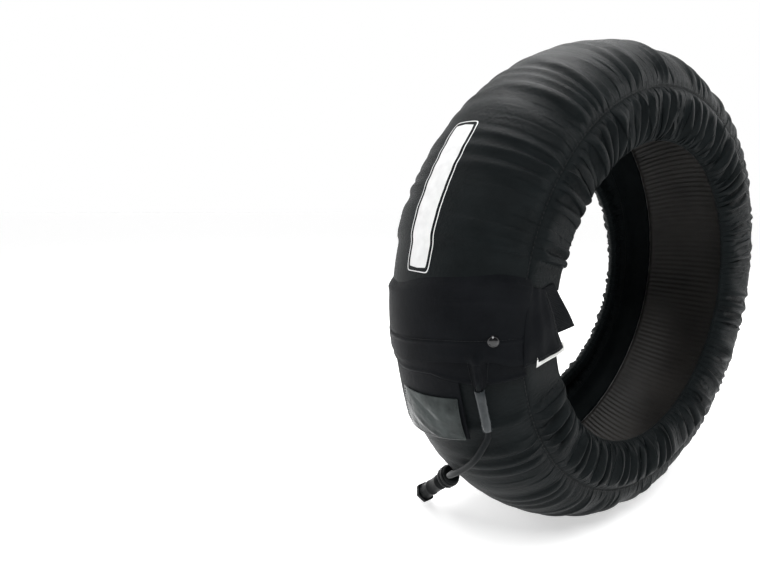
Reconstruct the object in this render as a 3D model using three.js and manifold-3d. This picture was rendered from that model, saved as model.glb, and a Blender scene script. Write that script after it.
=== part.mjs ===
// A motorcycle tyre warmer in its fitted shape: a heated, padded tread cover with gathered side skirts,
// closed by an overlapping flap, with a short supply lead. Millimetres, +Z up. The wheel axle lies along Y,
// the near side faces -Y, and the closing flap is on the -X side. The origin is under the wheel's centre,
// on the small flat spot that the cover stands on.
import * as THREE from "three";
import { mergeVertices } from "three/addons/utils/BufferGeometryUtils.js";
import Module from "manifold-3d";

const wasm = await Module();
wasm.setup();

// The shape of the fitted cover, for a 190/55 R17 tyre.
const crownRadius = 327; // from the axle to the outside of the cover at the middle of the tread
const halfWidth = 101.3; // from the middle plane to the widest point
const widestRadius = 246; // from the axle to the widest point
const crownRoundness = 1.887; // exponent of the tread's rounded section
const hemRadius = 196.4; // from the axle to the skirt's inner edge
const hemOffset = 90; // from the middle plane to the skirt's inner edge
const standFlat = 4; // how far the crown is pressed in where the cover stands
const centreHeight = crownRadius - standFlat;

// Fabric and padding.
const fabric = 1.6; // outer fabric with its lining
const layerGap = 0.35; // clearance between neighbouring layers
const feltThickness = 3.3;
const pressed = (depth) => (depth > feltBottom ? 2 : 1.6) * depth + 0.8; // the pad's layers lie further apart over the flat spot
const padChord = 0.9; // room for the flats between the felt's rows
const wireThickness = 1.6;
const linerThickness = 1.2;

// Angles round the axle in degrees, from +X towards +Z.
const turn = 360;
const coverStart = 177.2; // the end of the cover that lies under the flap
const gatherPitch = 8; // one crest and one trough of the gathered fabric
const stepAngle = gatherPitch / 2;
const coverSteps = 94;
const coverEnd = coverStart + coverSteps * stepAngle; // the flap's free edge
const liftStart = coverStart + turn - stepAngle; // where the flap leaves the round of the cover
const skirtStart = coverStart + stepAngle;
const skirtEnd = liftStart;
const padStart = skirtStart;
const padEnd = skirtEnd;

// Places across the section: 0 at the crown, 1 at the widest point, 2 at the hem, minus on the near side.
const seamPlace = 0.9;
const innerPlaces = [-0.55, -0.3, -0.12, 0.12, 0.3, 0.55];
const coverPlaces = [-seamPlace, ...innerPlaces, seamPlace];
const padPlaces = innerPlaces;
const seamClearance = 0.0035; // a share of the section that leaves layerGap between tread and skirt

// Gathers: how far the crests stand out.
const treadPucker = 4;
const skirtCrest = 8.5;
const hemCrest = 4;
const flatEndAngle = 14; // the gathers fade out over this angle towards the closure
const underFlap = 8; // the cover's start has no gathers this far, where the flap lies on it

// Elastic and its hem.
const elasticRadius = 2.5;
const tunnelClearance = 0.8;
const tunnelRadius = elasticRadius + tunnelClearance;
const hemLip = 3; // how far the hem's turned edge comes back past the elastic

// Closing flap.
const stripThickness = 1.2;
const flapLift = fabric + 2 * stripThickness + 3 * layerGap - 0.05;
const leadPlace = -0.55; // where the supply lead lies on the flap

// Supply lead.
const leadDiameter = 7;
const sleeveWall = 1;
const sleeveFlange = 4.5;
const tubeWall = 1.2;
const tubeBore = leadDiameter + 1.2;
const tubeLength = 50;
const tubeStandOff = 9; // the tube's lower end from the tread
const sleeveStart = 187.9; // angles on the flap, less one turn
const sleeveEnd = 192.6;
const leadStart = 188.5;
const tubeStart = 193.1;

const colours = {
  shell: { color: 0x15181a, roughness: 0.62, metalness: 0 },
  skirt: { color: 0x14171a, roughness: 0.6, metalness: 0 },
  lining: { color: 0x1d1a18, roughness: 0.8, metalness: 0 },
  felt: { color: 0x4c4e50, roughness: 0.95, metalness: 0 },
  elastic: { color: 0x111111, roughness: 0.7, metalness: 0 },
  wire: { color: 0x6a3a2a, roughness: 0.5, metalness: 0 },
  webbing: { color: 0x101214, roughness: 0.8, metalness: 0 },
  label: { color: 0xe6e6e2, roughness: 0.7, metalness: 0 },
  metal: { color: 0x1a1b1c, roughness: 0.25, metalness: 0.9 },
  brass: { color: 0xb08a45, roughness: 0.3, metalness: 1 },
  film: { color: 0x5d6464, roughness: 0.12, metalness: 0, transparent: true, opacity: 0.6 },
  clear: { color: 0x8a8f90, roughness: 0.1, metalness: 0, transparent: true, opacity: 0.5 },
  rubber: { color: 0x17191a, roughness: 0.55, metalness: 0 },
  plastic: { color: 0x1b1d1e, roughness: 0.45, metalness: 0 },
};

const group = new THREE.Group();

function add(name, geometry, colour, place = new THREE.Matrix4()) {
  const mesh = new THREE.Mesh(geometry, new THREE.MeshStandardMaterial(colours[colour]));
  mesh.name = name;
  mesh.applyMatrix4(place);
  group.add(mesh);
  return mesh;
}

function smooth(value, low, high) {
  const share = THREE.MathUtils.clamp((value - low) / (high - low), 0, 1);
  return share * share * (3 - 2 * share);
}

// Radius from the axle and distance from the middle plane of the cover's outside.
function section(place) {
  const side = Math.sign(place);
  const share = Math.abs(place);
  if (share <= 1) {
    const angle = (share * Math.PI) / 2;
    const power = 2 / crownRoundness;
    return new THREE.Vector2(
      widestRadius + (crownRadius - widestRadius) * Math.cos(angle) ** power,
      side * halfWidth * Math.sin(angle) ** power,
    );
  }
  const angle = ((share - 1) * Math.PI) / 2;
  return new THREE.Vector2(
    widestRadius - (widestRadius - hemRadius) * Math.sin(angle),
    side * (hemOffset + (halfWidth - hemOffset) * Math.cos(angle)),
  );
}

function sectionNormal(place) {
  const reach = 1e-3;
  const along = section(place + reach).sub(section(place - reach)).normalize();
  return new THREE.Vector2(along.y, -along.x);
}

// A point at a radius, a distance from the middle plane and an angle, kept above the flat spot.
function around(angle, radius, y, lowest = 0) {
  const turned = THREE.MathUtils.degToRad(angle);
  const z = centreHeight + radius * Math.sin(turned);
  return new THREE.Vector3(radius * Math.cos(turned), y, Math.max(z, lowest));
}

// A point at a depth under the cover's outside. A minus depth lies outside it.
function onSection(angle, place, depth) {
  const spot = section(place).addScaledVector(sectionNormal(place), -depth);
  return around(angle, spot.x, spot.y, depth > 0 ? pressed(depth) : 0);
}

// How far the gathered fabric stands out at an angle and place.
function gather(angle, place) {
  const share = Math.abs(place);
  const fade = smooth(angle, skirtStart + underFlap, skirtStart + underFlap + flatEndAngle)
    * (1 - smooth(angle, skirtEnd - flatEndAngle, skirtEnd));
  const crest = 0.5 + 0.5 * Math.cos((2 * Math.PI * (angle - coverStart)) / gatherPitch);
  const uneven = 0.8 + 0.2 * Math.sin(angle * 0.21) * Math.cos(angle * 0.067 + share);
  const height = share <= seamPlace
    ? treadPucker * smooth(share, 0.2, seamPlace)
    : THREE.MathUtils.lerp(treadPucker, skirtCrest, smooth(share, seamPlace, 1.3))
      + (hemCrest - skirtCrest) * smooth(share, 1.4, 2);
  return fade * crest * uneven * height;
}

// How far the closing flap stands off the cover's start.
function lift(angle) {
  return flapLift * smooth(angle, liftStart, coverStart + turn);
}

function onCover(angle, place, depth) {
  const out = gather(angle, place) + lift(angle);
  const spot = section(place).addScaledVector(sectionNormal(place), out - depth);
  return around(angle, spot.x, spot.y, depth);
}

// The faceted cover between its stops and steps, so that trims seat on the real surface.
function onFacet(angle, place, depth) {
  const after = coverPlaces.findIndex((stop) => stop >= place - 1e-9 && stop > coverPlaces[0]);
  const [low, high] = [coverPlaces[after - 1], coverPlaces[after]];
  const across = (place - low) / (high - low);
  const step = Math.floor((angle - coverStart) / stepAngle + 1e-9);
  const from = coverStart + step * stepAngle;
  const along = (angle - from) / stepAngle;
  const row = (at) => onCover(at, low, depth).lerp(onCover(at, high, depth), across);
  return row(from).lerp(row(from + stepAngle), along);
}

// A matrix at a place on the facets: Z outwards, X along the tread, moved out by a height.
function seat(angle, place, height) {
  const reach = 0.02;
  const at = onFacet(angle, place, 0);
  const x = onFacet(angle + reach, place, 0).sub(at).normalize();
  const y = onFacet(angle, place + reach, 0).sub(at).normalize();
  const z = new THREE.Vector3().crossVectors(x, y).normalize();
  if (z.dot(new THREE.Vector3(at.x, at.y, at.z - centreHeight)) < 0) z.negate();
  y.crossVectors(z, x);
  return new THREE.Matrix4().makeBasis(x, y, z).setPosition(at.addScaledVector(z, height));
}

// A closed body from corner points and triangles, turned so that its faces point out.
function body(points, triangles) {
  const at = (index) => points[index];
  const volume = triangles.reduce(
    (sum, [a, b, c]) => sum + at(a).dot(new THREE.Vector3().crossVectors(at(b), at(c))),
    0,
  );
  const faces = volume < 0 ? triangles.map(([a, b, c]) => [a, c, b]) : triangles;
  const geometry = new THREE.BufferGeometry().setFromPoints(points);
  geometry.setIndex(faces.flat());
  return geometry;
}

// A body swept through closed loops of the same number of points. Each end is closed by a flat cap.
function sweep(loops, flatten) {
  const count = loops[0].length;
  const triangles = [];
  for (let i = 0; i + 1 < loops.length; i += 1) {
    for (let j = 0; j < count; j += 1) {
      const next = (j + 1) % count;
      const [a, b, c, d] = [i * count + j, i * count + next, (i + 1) * count + next, (i + 1) * count + j];
      triangles.push([a, b, c], [a, c, d]);
    }
  }
  const last = (loops.length - 1) * count;
  const cap = (loop) => THREE.ShapeUtils.triangulateShape(loop.map(flatten), []);
  const winding = (loop) => (THREE.ShapeUtils.area(loop.map(flatten)) > 0 ? 1 : -1);
  const turnCap = ([a, b, c], offset, keep) => (keep ? [a, b, c] : [a, c, b]).map((i) => i + offset);
  const startKeep = winding(loops[0]) < 0;
  cap(loops[0]).forEach((face) => triangles.push(turnCap(face, 0, startKeep)));
  cap(loops.at(-1)).forEach((face) => triangles.push(turnCap(face, last, !startKeep)));
  return body(loops.flat(), triangles);
}

const acrossSection = (point) => new THREE.Vector2(Math.hypot(point.x, point.z - centreHeight), point.y);

function angles(from, to, steps) {
  return Array.from({ length: steps + 1 }, (_, i) => from + ((to - from) * i) / steps);
}

// A sheet between two depths that follows the section at the given places.
function sheet(rows, places, surface, outer, inner) {
  return sweep(
    rows.map((angle) => [
      ...places.map((place) => surface(angle, place, outer)),
      ...[...places].reverse().map((place) => surface(angle, place, inner)),
    ]),
    acrossSection,
  );
}

function solid(geometry) {
  const plain = geometry.clone();
  plain.deleteAttribute("normal");
  plain.deleteAttribute("uv");
  const merged = mergeVertices(plain, 1e-3);
  return new wasm.Manifold(
    new wasm.Mesh({
      numProp: 3,
      vertProperties: merged.attributes.position.array,
      triVerts: new Uint32Array(merged.index.array),
    }),
  );
}

// The geometry with each cutter taken out of it.
function cut(geometry, cutters) {
  const left = cutters.reduce((kept, cutter) => kept.subtract(solid(cutter)), solid(geometry));
  const mesh = left.getMesh();
  const made = new THREE.BufferGeometry();
  made.setAttribute("position", new THREE.BufferAttribute(mesh.vertProperties, 3));
  made.setIndex(new THREE.BufferAttribute(mesh.triVerts, 1));
  return made;
}

// A turned piece about its local Z axis, from [radius, height] corners.
function turned(corners, sides) {
  const profile = corners.map(([radius, height]) => new THREE.Vector2(radius, height));
  return new THREE.LatheGeometry(profile, sides).rotateX(Math.PI / 2);
}

function ring(inner, outer, low, high, sides) {
  return turned([[inner, low], [outer, low], [outer, high], [inner, high], [inner, low]], sides);
}

// Press studs: the cap and socket on the flap, the stud and its post on the cover's start.
const studAngle = 183.6;
const studPlace = 0.656;
const capRadius = 6;
const capHeight = 2.4;
const shankRadius = 1.5;
const shankHole = shankRadius + layerGap;
const socketHeight = 1.4;
const socketRadius = 4.5;
const studHeight = flapLift - fabric - socketHeight - 3 * layerGap;
const postReach = 1.2; // how deep the post's head lies under the cover
const studSides = 12;

function studSeats(side) {
  const flap = seat(studAngle + turn, side * studPlace, 0);
  const start = seat(studAngle, side * studPlace, 0);
  return { flap, start };
}

function hole(place, radius, low, high) {
  const drill = new THREE.CylinderGeometry(radius, radius, high - low, studSides);
  return drill.rotateX(Math.PI / 2).translate(0, 0, (low + high) / 2).applyMatrix4(place);
}

// The lead's cores pass through a slit in the flap and one in the cover's start.
const slitLength = 12;
const slitWidth = 6;
const coreRadius = 1;
const coreSpacing = 3;
const flapSlit = 186.9;
const startSlit = 185.4;

function slot(angle, place, length, width, low, high) {
  const block = new THREE.BoxGeometry(length, width, high - low);
  return block.translate(0, 0, (low + high) / 2).applyMatrix4(seat(angle, place, 0));
}

function makeTreadCover() {
  const rows = angles(coverStart, coverEnd, coverSteps);
  const plain = sheet(rows, coverPlaces, onCover, 0, fabric);
  const drills = [-1, 1].flatMap((side) => {
    const { flap, start } = studSeats(side);
    return [
      hole(flap, shankHole, -fabric - 1, 1),
      hole(start, shankHole, -fabric - 1, 1),
    ];
  });
  const slits = [flapSlit + turn, startSlit].map((angle) =>
    slot(angle, leadPlace, slitLength, slitWidth, -fabric - 1.5, 1.5),
  );
  add("tread_cover", cut(plain, [...drills, ...slits]), "shell");
}

// One skirt: gathered fabric from the tread's seam to the hem, turned in round the elastic.
function makeSkirt(name, side) {
  const firstPlace = seamPlace + seamClearance;
  const places = [firstPlace, 1.3];
  const centre = hemRadius + fabric + tunnelRadius;
  const loopAt = (angle) => {
    const out = gather(angle, 2);
    // A point of the hem from the elastic's middle: towards the axle, and away from the middle plane.
    const hem = (inward, outward) => around(angle, centre - inward, side * (hemOffset + outward));
    const wall = tunnelRadius + fabric;
    return [
      ...places.map((place) => onCover(angle, side * place, 0)),
      hem(wall, tunnelRadius + out),
      hem(wall, -tunnelRadius),
      hem(-hemLip, -wall),
      hem(-hemLip, -tunnelRadius),
      hem(tunnelRadius, -tunnelRadius),
      hem(tunnelRadius, tunnelRadius + out - fabric / 2),
      ...[...places].reverse().map((place) => onCover(angle, side * place, fabric)),
    ];
  };
  const steps = Math.round((skirtEnd - skirtStart) / stepAngle);
  add(name, sweep(angles(skirtStart, skirtEnd, steps).map(loopAt), acrossSection), "skirt");
}

function makeElastic(name, side) {
  const centre = hemRadius + fabric + tunnelRadius;
  const corners = [0, 90, 180, 270].map((turnAngle) => THREE.MathUtils.degToRad(turnAngle));
  const rows = angles(skirtStart + 1, skirtEnd - 1, 49);
  const loops = rows.map((angle) =>
    corners.map((a) =>
      around(angle, centre - elasticRadius * Math.sin(a), side * (hemOffset + elasticRadius * Math.cos(a))),
    ),
  );
  add(name, sweep(loops, acrossSection), "elastic");
}

// The padded heater: felt under the cover, the wire in its channels, and the lining over it.
const feltTop = fabric + layerGap;
const feltBottom = feltTop + feltThickness;
const wireTop = feltBottom + padChord + layerGap;
const wireBottom = wireTop + wireThickness;
const linerOverWire = wireBottom + layerGap;
const linerBetween = wireTop + layerGap;
const padSteps = coverSteps / 2 - 3;
const wireRuns = 25;
const wirePitch = (padEnd - padStart) / wireRuns;
const wireWidth = 2;
const wireMargin = 0.06; // the wire's turns stay this far inside the felt's edge

const thermostatSize = [20, 7.5, 2.6];
const fuseLength = 11;
const fuseRadius = 1.2;
const controlAngle = 196;
const controlPlace = -0.45;
const fuseAngle = 200.5;
const windowMargin = 2;

// The pad's facets across the tread: a place between two stops lies on the flat between them.
function onPad(angle, place, depth) {
  const after = Math.max(padPlaces.findIndex((stop) => stop >= place - 1e-9), 1);
  const [low, high] = [padPlaces[after - 1], padPlaces[after]];
  const share = (place - low) / (high - low);
  return onSection(angle, low, depth).lerp(onSection(angle, high, depth), share);
}

function makeFelt() {
  const plain = sheet(angles(padStart, padEnd, padSteps), padPlaces, onPad, feltTop, feltBottom);
  const middle = (controlAngle + fuseAngle) / 2;
  const length = THREE.MathUtils.degToRad(fuseAngle - controlAngle) * crownRadius
    + (thermostatSize[0] + fuseLength) / 2 + 2 * windowMargin;
  const width = thermostatSize[1] + 2 * windowMargin;
  const window = slot(middle, controlPlace, length, width, -feltBottom - 2, -feltTop + 2);
  const entry = slot(startSlit, leadPlace, slitLength, slitWidth + 4, -feltBottom - 2, -feltTop + 2);
  add("insulation_felt", cut(plain, [window, entry]), "felt");
}

// The lining hugs the felt between the wire's runs and stands over the wire and its turns.
const turnPlace = 0.44;

function makeLiner() {
  const rows = angles(padStart, padEnd, 2 * wireRuns);
  const [first, ...rest] = padPlaces;
  const places = [first, -turnPlace, ...rest.slice(0, -1), turnPlace, rest.at(-1)];
  const depthAt = (angle, place) => {
    const run = (angle - padStart) / wirePitch;
    const overWire = 1 - Math.abs(2 * (run - Math.floor(run)) - 1);
    return THREE.MathUtils.lerp(linerBetween, linerOverWire, Math.abs(place) >= turnPlace ? 1 : overWire);
  };
  const ribbed = (angle, place, under) => onPad(angle, place, depthAt(angle, place) + under);
  add("heater_liner", sheet(rows, places, ribbed, 0, linerThickness), "lining");
}

// One long wire that runs across the tread, steps on, and runs back.
function makeHeatingWire() {
  const edge = padPlaces.at(-1) - wireMargin;
  const across = [-edge, ...padPlaces.slice(1, -1), edge];
  const halfAngle = THREE.MathUtils.radToDeg(wireWidth / 2 / crownRadius);
  const loops = [];
  const ring = (lead, trail, from, to) => [
    onPad(lead, from, wireTop),
    onPad(trail, to, wireTop),
    onPad(trail, to, wireBottom),
    onPad(lead, from, wireBottom),
  ];
  for (let run = 0; run < wireRuns; run += 1) {
    const angle = padStart + (run + 0.5) * wirePitch;
    const forward = run % 2 === 0;
    const places = forward ? across : [...across].reverse();
    // The wire's leading and trailing sides swap each time it turns back.
    const half = forward ? halfAngle : -halfAngle;
    places.forEach((place) => loops.push(ring(angle + half, angle - half, place, place)));
    if (run + 1 < wireRuns) {
      const end = places.at(-1);
      const out = end + Math.sign(end) * 0.03;
      const middle = angle + wirePitch / 2;
      loops.push(forward ? ring(middle, middle, end, out) : ring(middle, middle, out, end));
    }
  }
  const endOn = (point) => new THREE.Vector2(point.x, point.z);
  add("heating_wire", sweep(loops, endOn), "wire");
}

function makeThermostat() {
  const [length, width, height] = thermostatSize;
  const top = feltTop + 0.2;
  add("thermostat", new THREE.BoxGeometry(length, width, height), "plastic",
    seat(controlAngle, controlPlace, -top - height / 2));
  const fuse = new THREE.CylinderGeometry(fuseRadius, fuseRadius, fuseLength, 10).rotateZ(Math.PI / 2);
  add("thermal_fuse", fuse, "label", seat(fuseAngle, controlPlace, -top - fuseRadius));
}

function makeClosureStrips() {
  const places = innerPlaces.slice(1, -1);
  const rows = angles(coverStart + stepAngle, coverStart + 3 * stepAngle, 2);
  const loopTop = -layerGap - stripThickness;
  add("closure_loop_strip", sheet(rows, places, onSection, loopTop, -layerGap), "webbing");
  const hookTop = loopTop - layerGap - stripThickness;
  add("closure_hook_strip", sheet(rows, places, onSection, hookTop, loopTop - layerGap), "webbing");
}

function makePressStud(word, side) {
  const { flap, start } = studSeats(side);
  const under = -fabric - layerGap;
  const shankEnd = under - socketHeight;
  add(`${word}_snap_cap`, turned([
    [0, shankEnd], [shankRadius, shankEnd], [shankRadius, layerGap], [capRadius, layerGap],
    [capRadius, layerGap + capHeight * 0.35], [capRadius * 0.72, layerGap + capHeight * 0.85],
    [0, layerGap + capHeight],
  ], studSides), "metal", flap);
  add(`${word}_snap_socket`, ring(shankHole, socketRadius, shankEnd, under, studSides), "metal", flap);
  const studTop = layerGap + studHeight;
  add(`${word}_snap_stud`, turned([
    [0, -fabric - layerGap], [shankRadius, -fabric - layerGap], [shankRadius, layerGap],
    [socketRadius, layerGap], [socketRadius, layerGap + studHeight * 0.4],
    [shankRadius * 1.4, studTop], [0, studTop],
  ], studSides), "metal", start);
  const postTop = -fabric - 2 * layerGap;
  add(`${word}_snap_post`, turned([
    [0, postTop - postReach], [capRadius - 1.5, postTop - postReach], [capRadius - 1.5, postTop], [0, postTop],
  ], studSides), "metal", start);
}

// The ungathered end of a skirt: a flat panel sewn to the flap's edge, whose free corner stands off.
const wingThickness = 1.3;
const wingInner = { first: [172.2, 231, 103.4], last: [188.3, 212, 115] }; // angle, radius, offset

// The wing's outside at a share of its length: at the seam, half way and at its inner edge.
function wingAt(side, share) {
  const angle = THREE.MathUtils.lerp(liftStart, coverEnd, share);
  const outward = new THREE.Vector3(0, side, 0);
  const top = onCover(angle, side * (seamPlace + seamClearance), 0);
  const [turned, radius, y] = wingInner.first.map((value, i) =>
    THREE.MathUtils.lerp(value, wingInner.last[i], share),
  );
  const inner = around(turned, radius, side * y);
  const middle = top.clone().lerp(inner, 0.45).addScaledVector(outward, 2.5 * (1 - share) + 1);
  return { top, middle, inner, outward };
}

function makeWing(name, side) {
  const steps = Math.round((coverEnd - liftStart) / stepAngle);
  const loops = angles(0, 1, steps).map((share) => {
    const { top, middle, inner, outward } = wingAt(side, share);
    // Its first row lies on the skirt's end, and from there it lies on the flap's level.
    if (share < 0.5 / steps) top.addScaledVector(outward, fabric + layerGap);
    const outside = [top, middle, inner];
    const inside = [inner, middle, top].map((point) => point.clone().addScaledVector(outward, -wingThickness));
    return [...outside, ...inside];
  });
  add(name, sweep(loops, acrossSection), "shell");
}

// A flat strap or label from a corner, with its length and width towards two points. Its thickness
// goes towards the side that it faces.
function strip(name, corner, alongTo, acrossTo, [length, width, thickness], facing, colour) {
  const x = alongTo.clone().sub(corner).normalize();
  const z = new THREE.Vector3().crossVectors(x, acrossTo.clone().sub(corner)).normalize();
  const y = new THREE.Vector3().crossVectors(z, x);
  const slab = new THREE.BoxGeometry(length, width, thickness);
  slab.translate(length / 2, width / 2, (Math.sign(z.dot(facing)) * thickness) / 2);
  add(name, slab, colour, new THREE.Matrix4().makeBasis(x, y, z).setPosition(corner));
}

// The tab behind the wing's inner edge: it hooks the end of the skirt to its start.
const tabShares = [0.1, 0.85]; // of the wing's length
const tabUnder = 5; // how far it reaches under the wing
const tabSize = [50, 18, 1.4];

function makeTab(name, side) {
  const behind = wingThickness + 4.6 * layerGap;
  const [high, low] = tabShares.map((share) => {
    const { middle, inner, outward } = wingAt(side, share);
    const under = middle.clone().sub(inner).normalize().multiplyScalar(tabUnder);
    return inner.clone().add(under).addScaledVector(outward, -behind);
  });
  const { middle, inner, outward } = wingAt(side, tabShares[1]);
  const across = low.clone().add(inner).sub(middle);
  strip(name, low, high, across, tabSize, outward.negate(), "webbing");
}

// A blank sewn-in label behind the near wing's lower edge.
const labelSize = [36, 15, 0.6];
const labelShown = 7;

function makeLabel() {
  const side = -1;
  const { middle, inner, outward } = wingAt(side, 1);
  const above = wingAt(side, 0.75);
  const behind = -wingThickness - 3 * layerGap;
  const along = middle.clone().sub(inner).normalize();
  const up = above.inner.clone().sub(inner).normalize();
  const start = inner.clone().addScaledVector(along, 3).addScaledVector(up, -labelShown);
  start.addScaledVector(outward, behind);
  const tip = (direction) => start.clone().add(direction);
  strip("care_label", start, tip(along), tip(up), labelSize, outward.negate(), "label");
}

// Card pocket: a header and backing of fabric that comes out under the flap, with a clear window.
const pocketTopAngle = 193.9;
const pocketEndAngle = 206.4;
const pocketNear = -0.36;
const pocketFar = 0.3;
const pocketSteps = 4;
const backingThickness = 1.2;
const pocketStandOff = 1.2; // the backing from the tread's crests at its top
const pocketLean = 5; // how much further its free end stands off
const windowStart = 0.28;
const filmThickness = 0.8;
const filmBulge = 2.2;

function pocketSheet(startShare, endShare, under, thickness, bulge) {
  const places = [pocketNear, -0.18, 0, 0.15, pocketFar];
  const shares = angles(startShare, endShare, pocketSteps);
  const loops = shares.map((share) => {
    const angle = THREE.MathUtils.lerp(pocketTopAngle, pocketEndAngle, share);
    const belly = bulge * Math.sin((Math.PI * (share - startShare)) / (endShare - startShare));
    const rise = pocketStandOff + pocketLean * share * share + under;
    const at = (place, height) => onSection(angle, place, -height);
    const crown = (place) => (Math.abs(place) < 0.2 ? belly : belly * 0.3);
    return [
      ...places.map((place) => at(place, rise + thickness + crown(place))),
      ...[...places].reverse().map((place) => at(place, rise + crown(place))),
    ];
  });
  return sweep(loops, acrossSection);
}

function makePocket() {
  add("pocket_backing", pocketSheet(0, 1, 0, backingThickness, 0), "shell");
  add("pocket_window", pocketSheet(windowStart, 1, backingThickness + layerGap, filmThickness, filmBulge), "film");
}

// The lead lies on the flap in its sewn sleeve, then passes through the clear tube.
function onFlap(angle, height) {
  return new THREE.Vector3().setFromMatrixPosition(seat(angle + turn, leadPlace, height));
}

const leadHeight = leadDiameter / 2 + layerGap;
const tubeHeight = tubeBore / 2 + tubeWall + layerGap;
const tubeTop = onFlap(tubeStart, tubeHeight);
const tubeAim = new THREE.Vector3().setFromMatrixPosition(seat(202, leadPlace, tubeStandOff));
const tubeDirection = tubeAim.clone().sub(tubeTop).normalize();
const tubeEnd = tubeTop.clone().addScaledVector(tubeDirection, tubeLength);

function round(radius, sides) {
  const points = angles(0, turn, sides).slice(0, -1).map((a) => {
    const turnedBy = THREE.MathUtils.degToRad(a);
    return new THREE.Vector2(radius * Math.cos(turnedBy), radius * Math.sin(turnedBy));
  });
  return new THREE.Shape(points);
}

function along(shape, points, steps) {
  const path = new THREE.CatmullRomCurve3(points, false, "centripetal");
  return new THREE.ExtrudeGeometry(shape, { steps, extrudePath: path, bevelEnabled: false });
}

function makeHeldLead() {
  const points = [
    onFlap(leadStart, leadHeight),
    onFlap(190.2, leadHeight + 0.2),
    onFlap(191.8, leadHeight + 0.9),
    tubeTop,
    tubeTop.clone().lerp(tubeEnd, 0.5),
    tubeEnd,
  ];
  add("held_lead", along(round(leadDiameter / 2, 8), points, 18), "rubber");
}

// The fabric sleeve: an arch over the lead with a sewn flange on each side.
function makeSleeve() {
  const inside = leadDiameter / 2 + layerGap;
  const outside = inside + sleeveWall;
  const flange = outside + sleeveFlange;
  const top = leadDiameter + 5 * layerGap;
  const foot = layerGap;
  const half = [
    [inside, foot], [inside, top * 0.65], [inside * 0.55, top],
  ];
  const outer = [
    [flange, foot], [flange, foot + sleeveWall], [outside, foot + sleeveWall],
    [outside, top * 0.7], [outside * 0.6, top + sleeveWall],
  ];
  const mirrored = (corners) => corners.map(([u, v]) => [-u, v]).reverse();
  const outline = [...outer, ...mirrored(outer), ...mirrored(half).reverse(), ...[...half].reverse()];
  const rows = [sleeveStart, coverEnd - turn - stepAngle, 191, sleeveEnd];
  const loops = rows.map((angle) => {
    const matrix = seat(angle + turn, leadPlace, 0);
    return outline.map(([u, v]) => new THREE.Vector3(0, u, v).applyMatrix4(matrix));
  });
  const endOn = (point) => {
    const local = point.clone().applyMatrix4(seat(190 + turn, leadPlace, 0).invert());
    return new THREE.Vector2(local.y, local.z);
  };
  add("lead_sleeve", sweep(loops, endOn), "webbing");
}

function makeClearTube() {
  const bore = tubeBore / 2;
  const geometry = ring(bore, bore + tubeWall, 0, tubeLength, 12);
  const z = tubeDirection.clone();
  const x = new THREE.Vector3(0, 1, 0).cross(z).normalize();
  const y = new THREE.Vector3().crossVectors(z, x);
  const matrix = new THREE.Matrix4().makeBasis(x, y, z).setPosition(tubeTop);
  add("strain_relief_tube", geometry, "clear", matrix);
}

// Two cores from the lead's end through both slits into the pad.
function makeCores() {
  const from = onFlap(leadStart, leadHeight - 0.6);
  const to = new THREE.Vector3().setFromMatrixPosition(seat(startSlit - 0.6, leadPlace, -fabric - 1.2));
  const back = to.clone().sub(from).normalize();
  const across = new THREE.Vector3(0, 1, 0).addScaledVector(back, -back.y).normalize();
  const clear = 4 * layerGap;
  const length = from.distanceTo(to) - clear;
  ["live_core", "neutral_core"].forEach((name, i) => {
    const core = new THREE.CylinderGeometry(coreRadius, coreRadius, length, 6).rotateX(Math.PI / 2);
    core.translate((i - 0.5) * coreSpacing, 0, length / 2 + clear);
    const x = across.clone();
    const y = new THREE.Vector3().crossVectors(back, x);
    add(name, core, "wire", new THREE.Matrix4().makeBasis(x, y, back).setPosition(from));
  });
}

// The plug at the lead's end: it leans on the floor with its rim. Its axis runs from the gland to the mouth.
const plugMouth = new THREE.Vector3(-221, 103.5, 11);
const plugRear = new THREE.Vector3(-218, 43, 73);
const plugAxis = plugMouth.clone().sub(plugRear).normalize();
const plugLength = plugMouth.distanceTo(plugRear);
const glandRadius = 14.5;
const glandLength = 21;
const glandBore = leadDiameter / 2 + 1.5;
const bodyRadius = 10;
const collarRadius = 14.5;
const collarLength = 8;
const mouthRadius = 8.6;
const mouthDepth = 16;
const plugSides = 16;

function plugPlace(distance) {
  const z = plugAxis.clone();
  const x = new THREE.Vector3(0, 0, 1).cross(z).normalize();
  const y = new THREE.Vector3().crossVectors(z, x);
  return new THREE.Matrix4().makeBasis(x, y, z)
    .setPosition(plugRear.clone().addScaledVector(plugAxis, distance));
}

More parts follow.
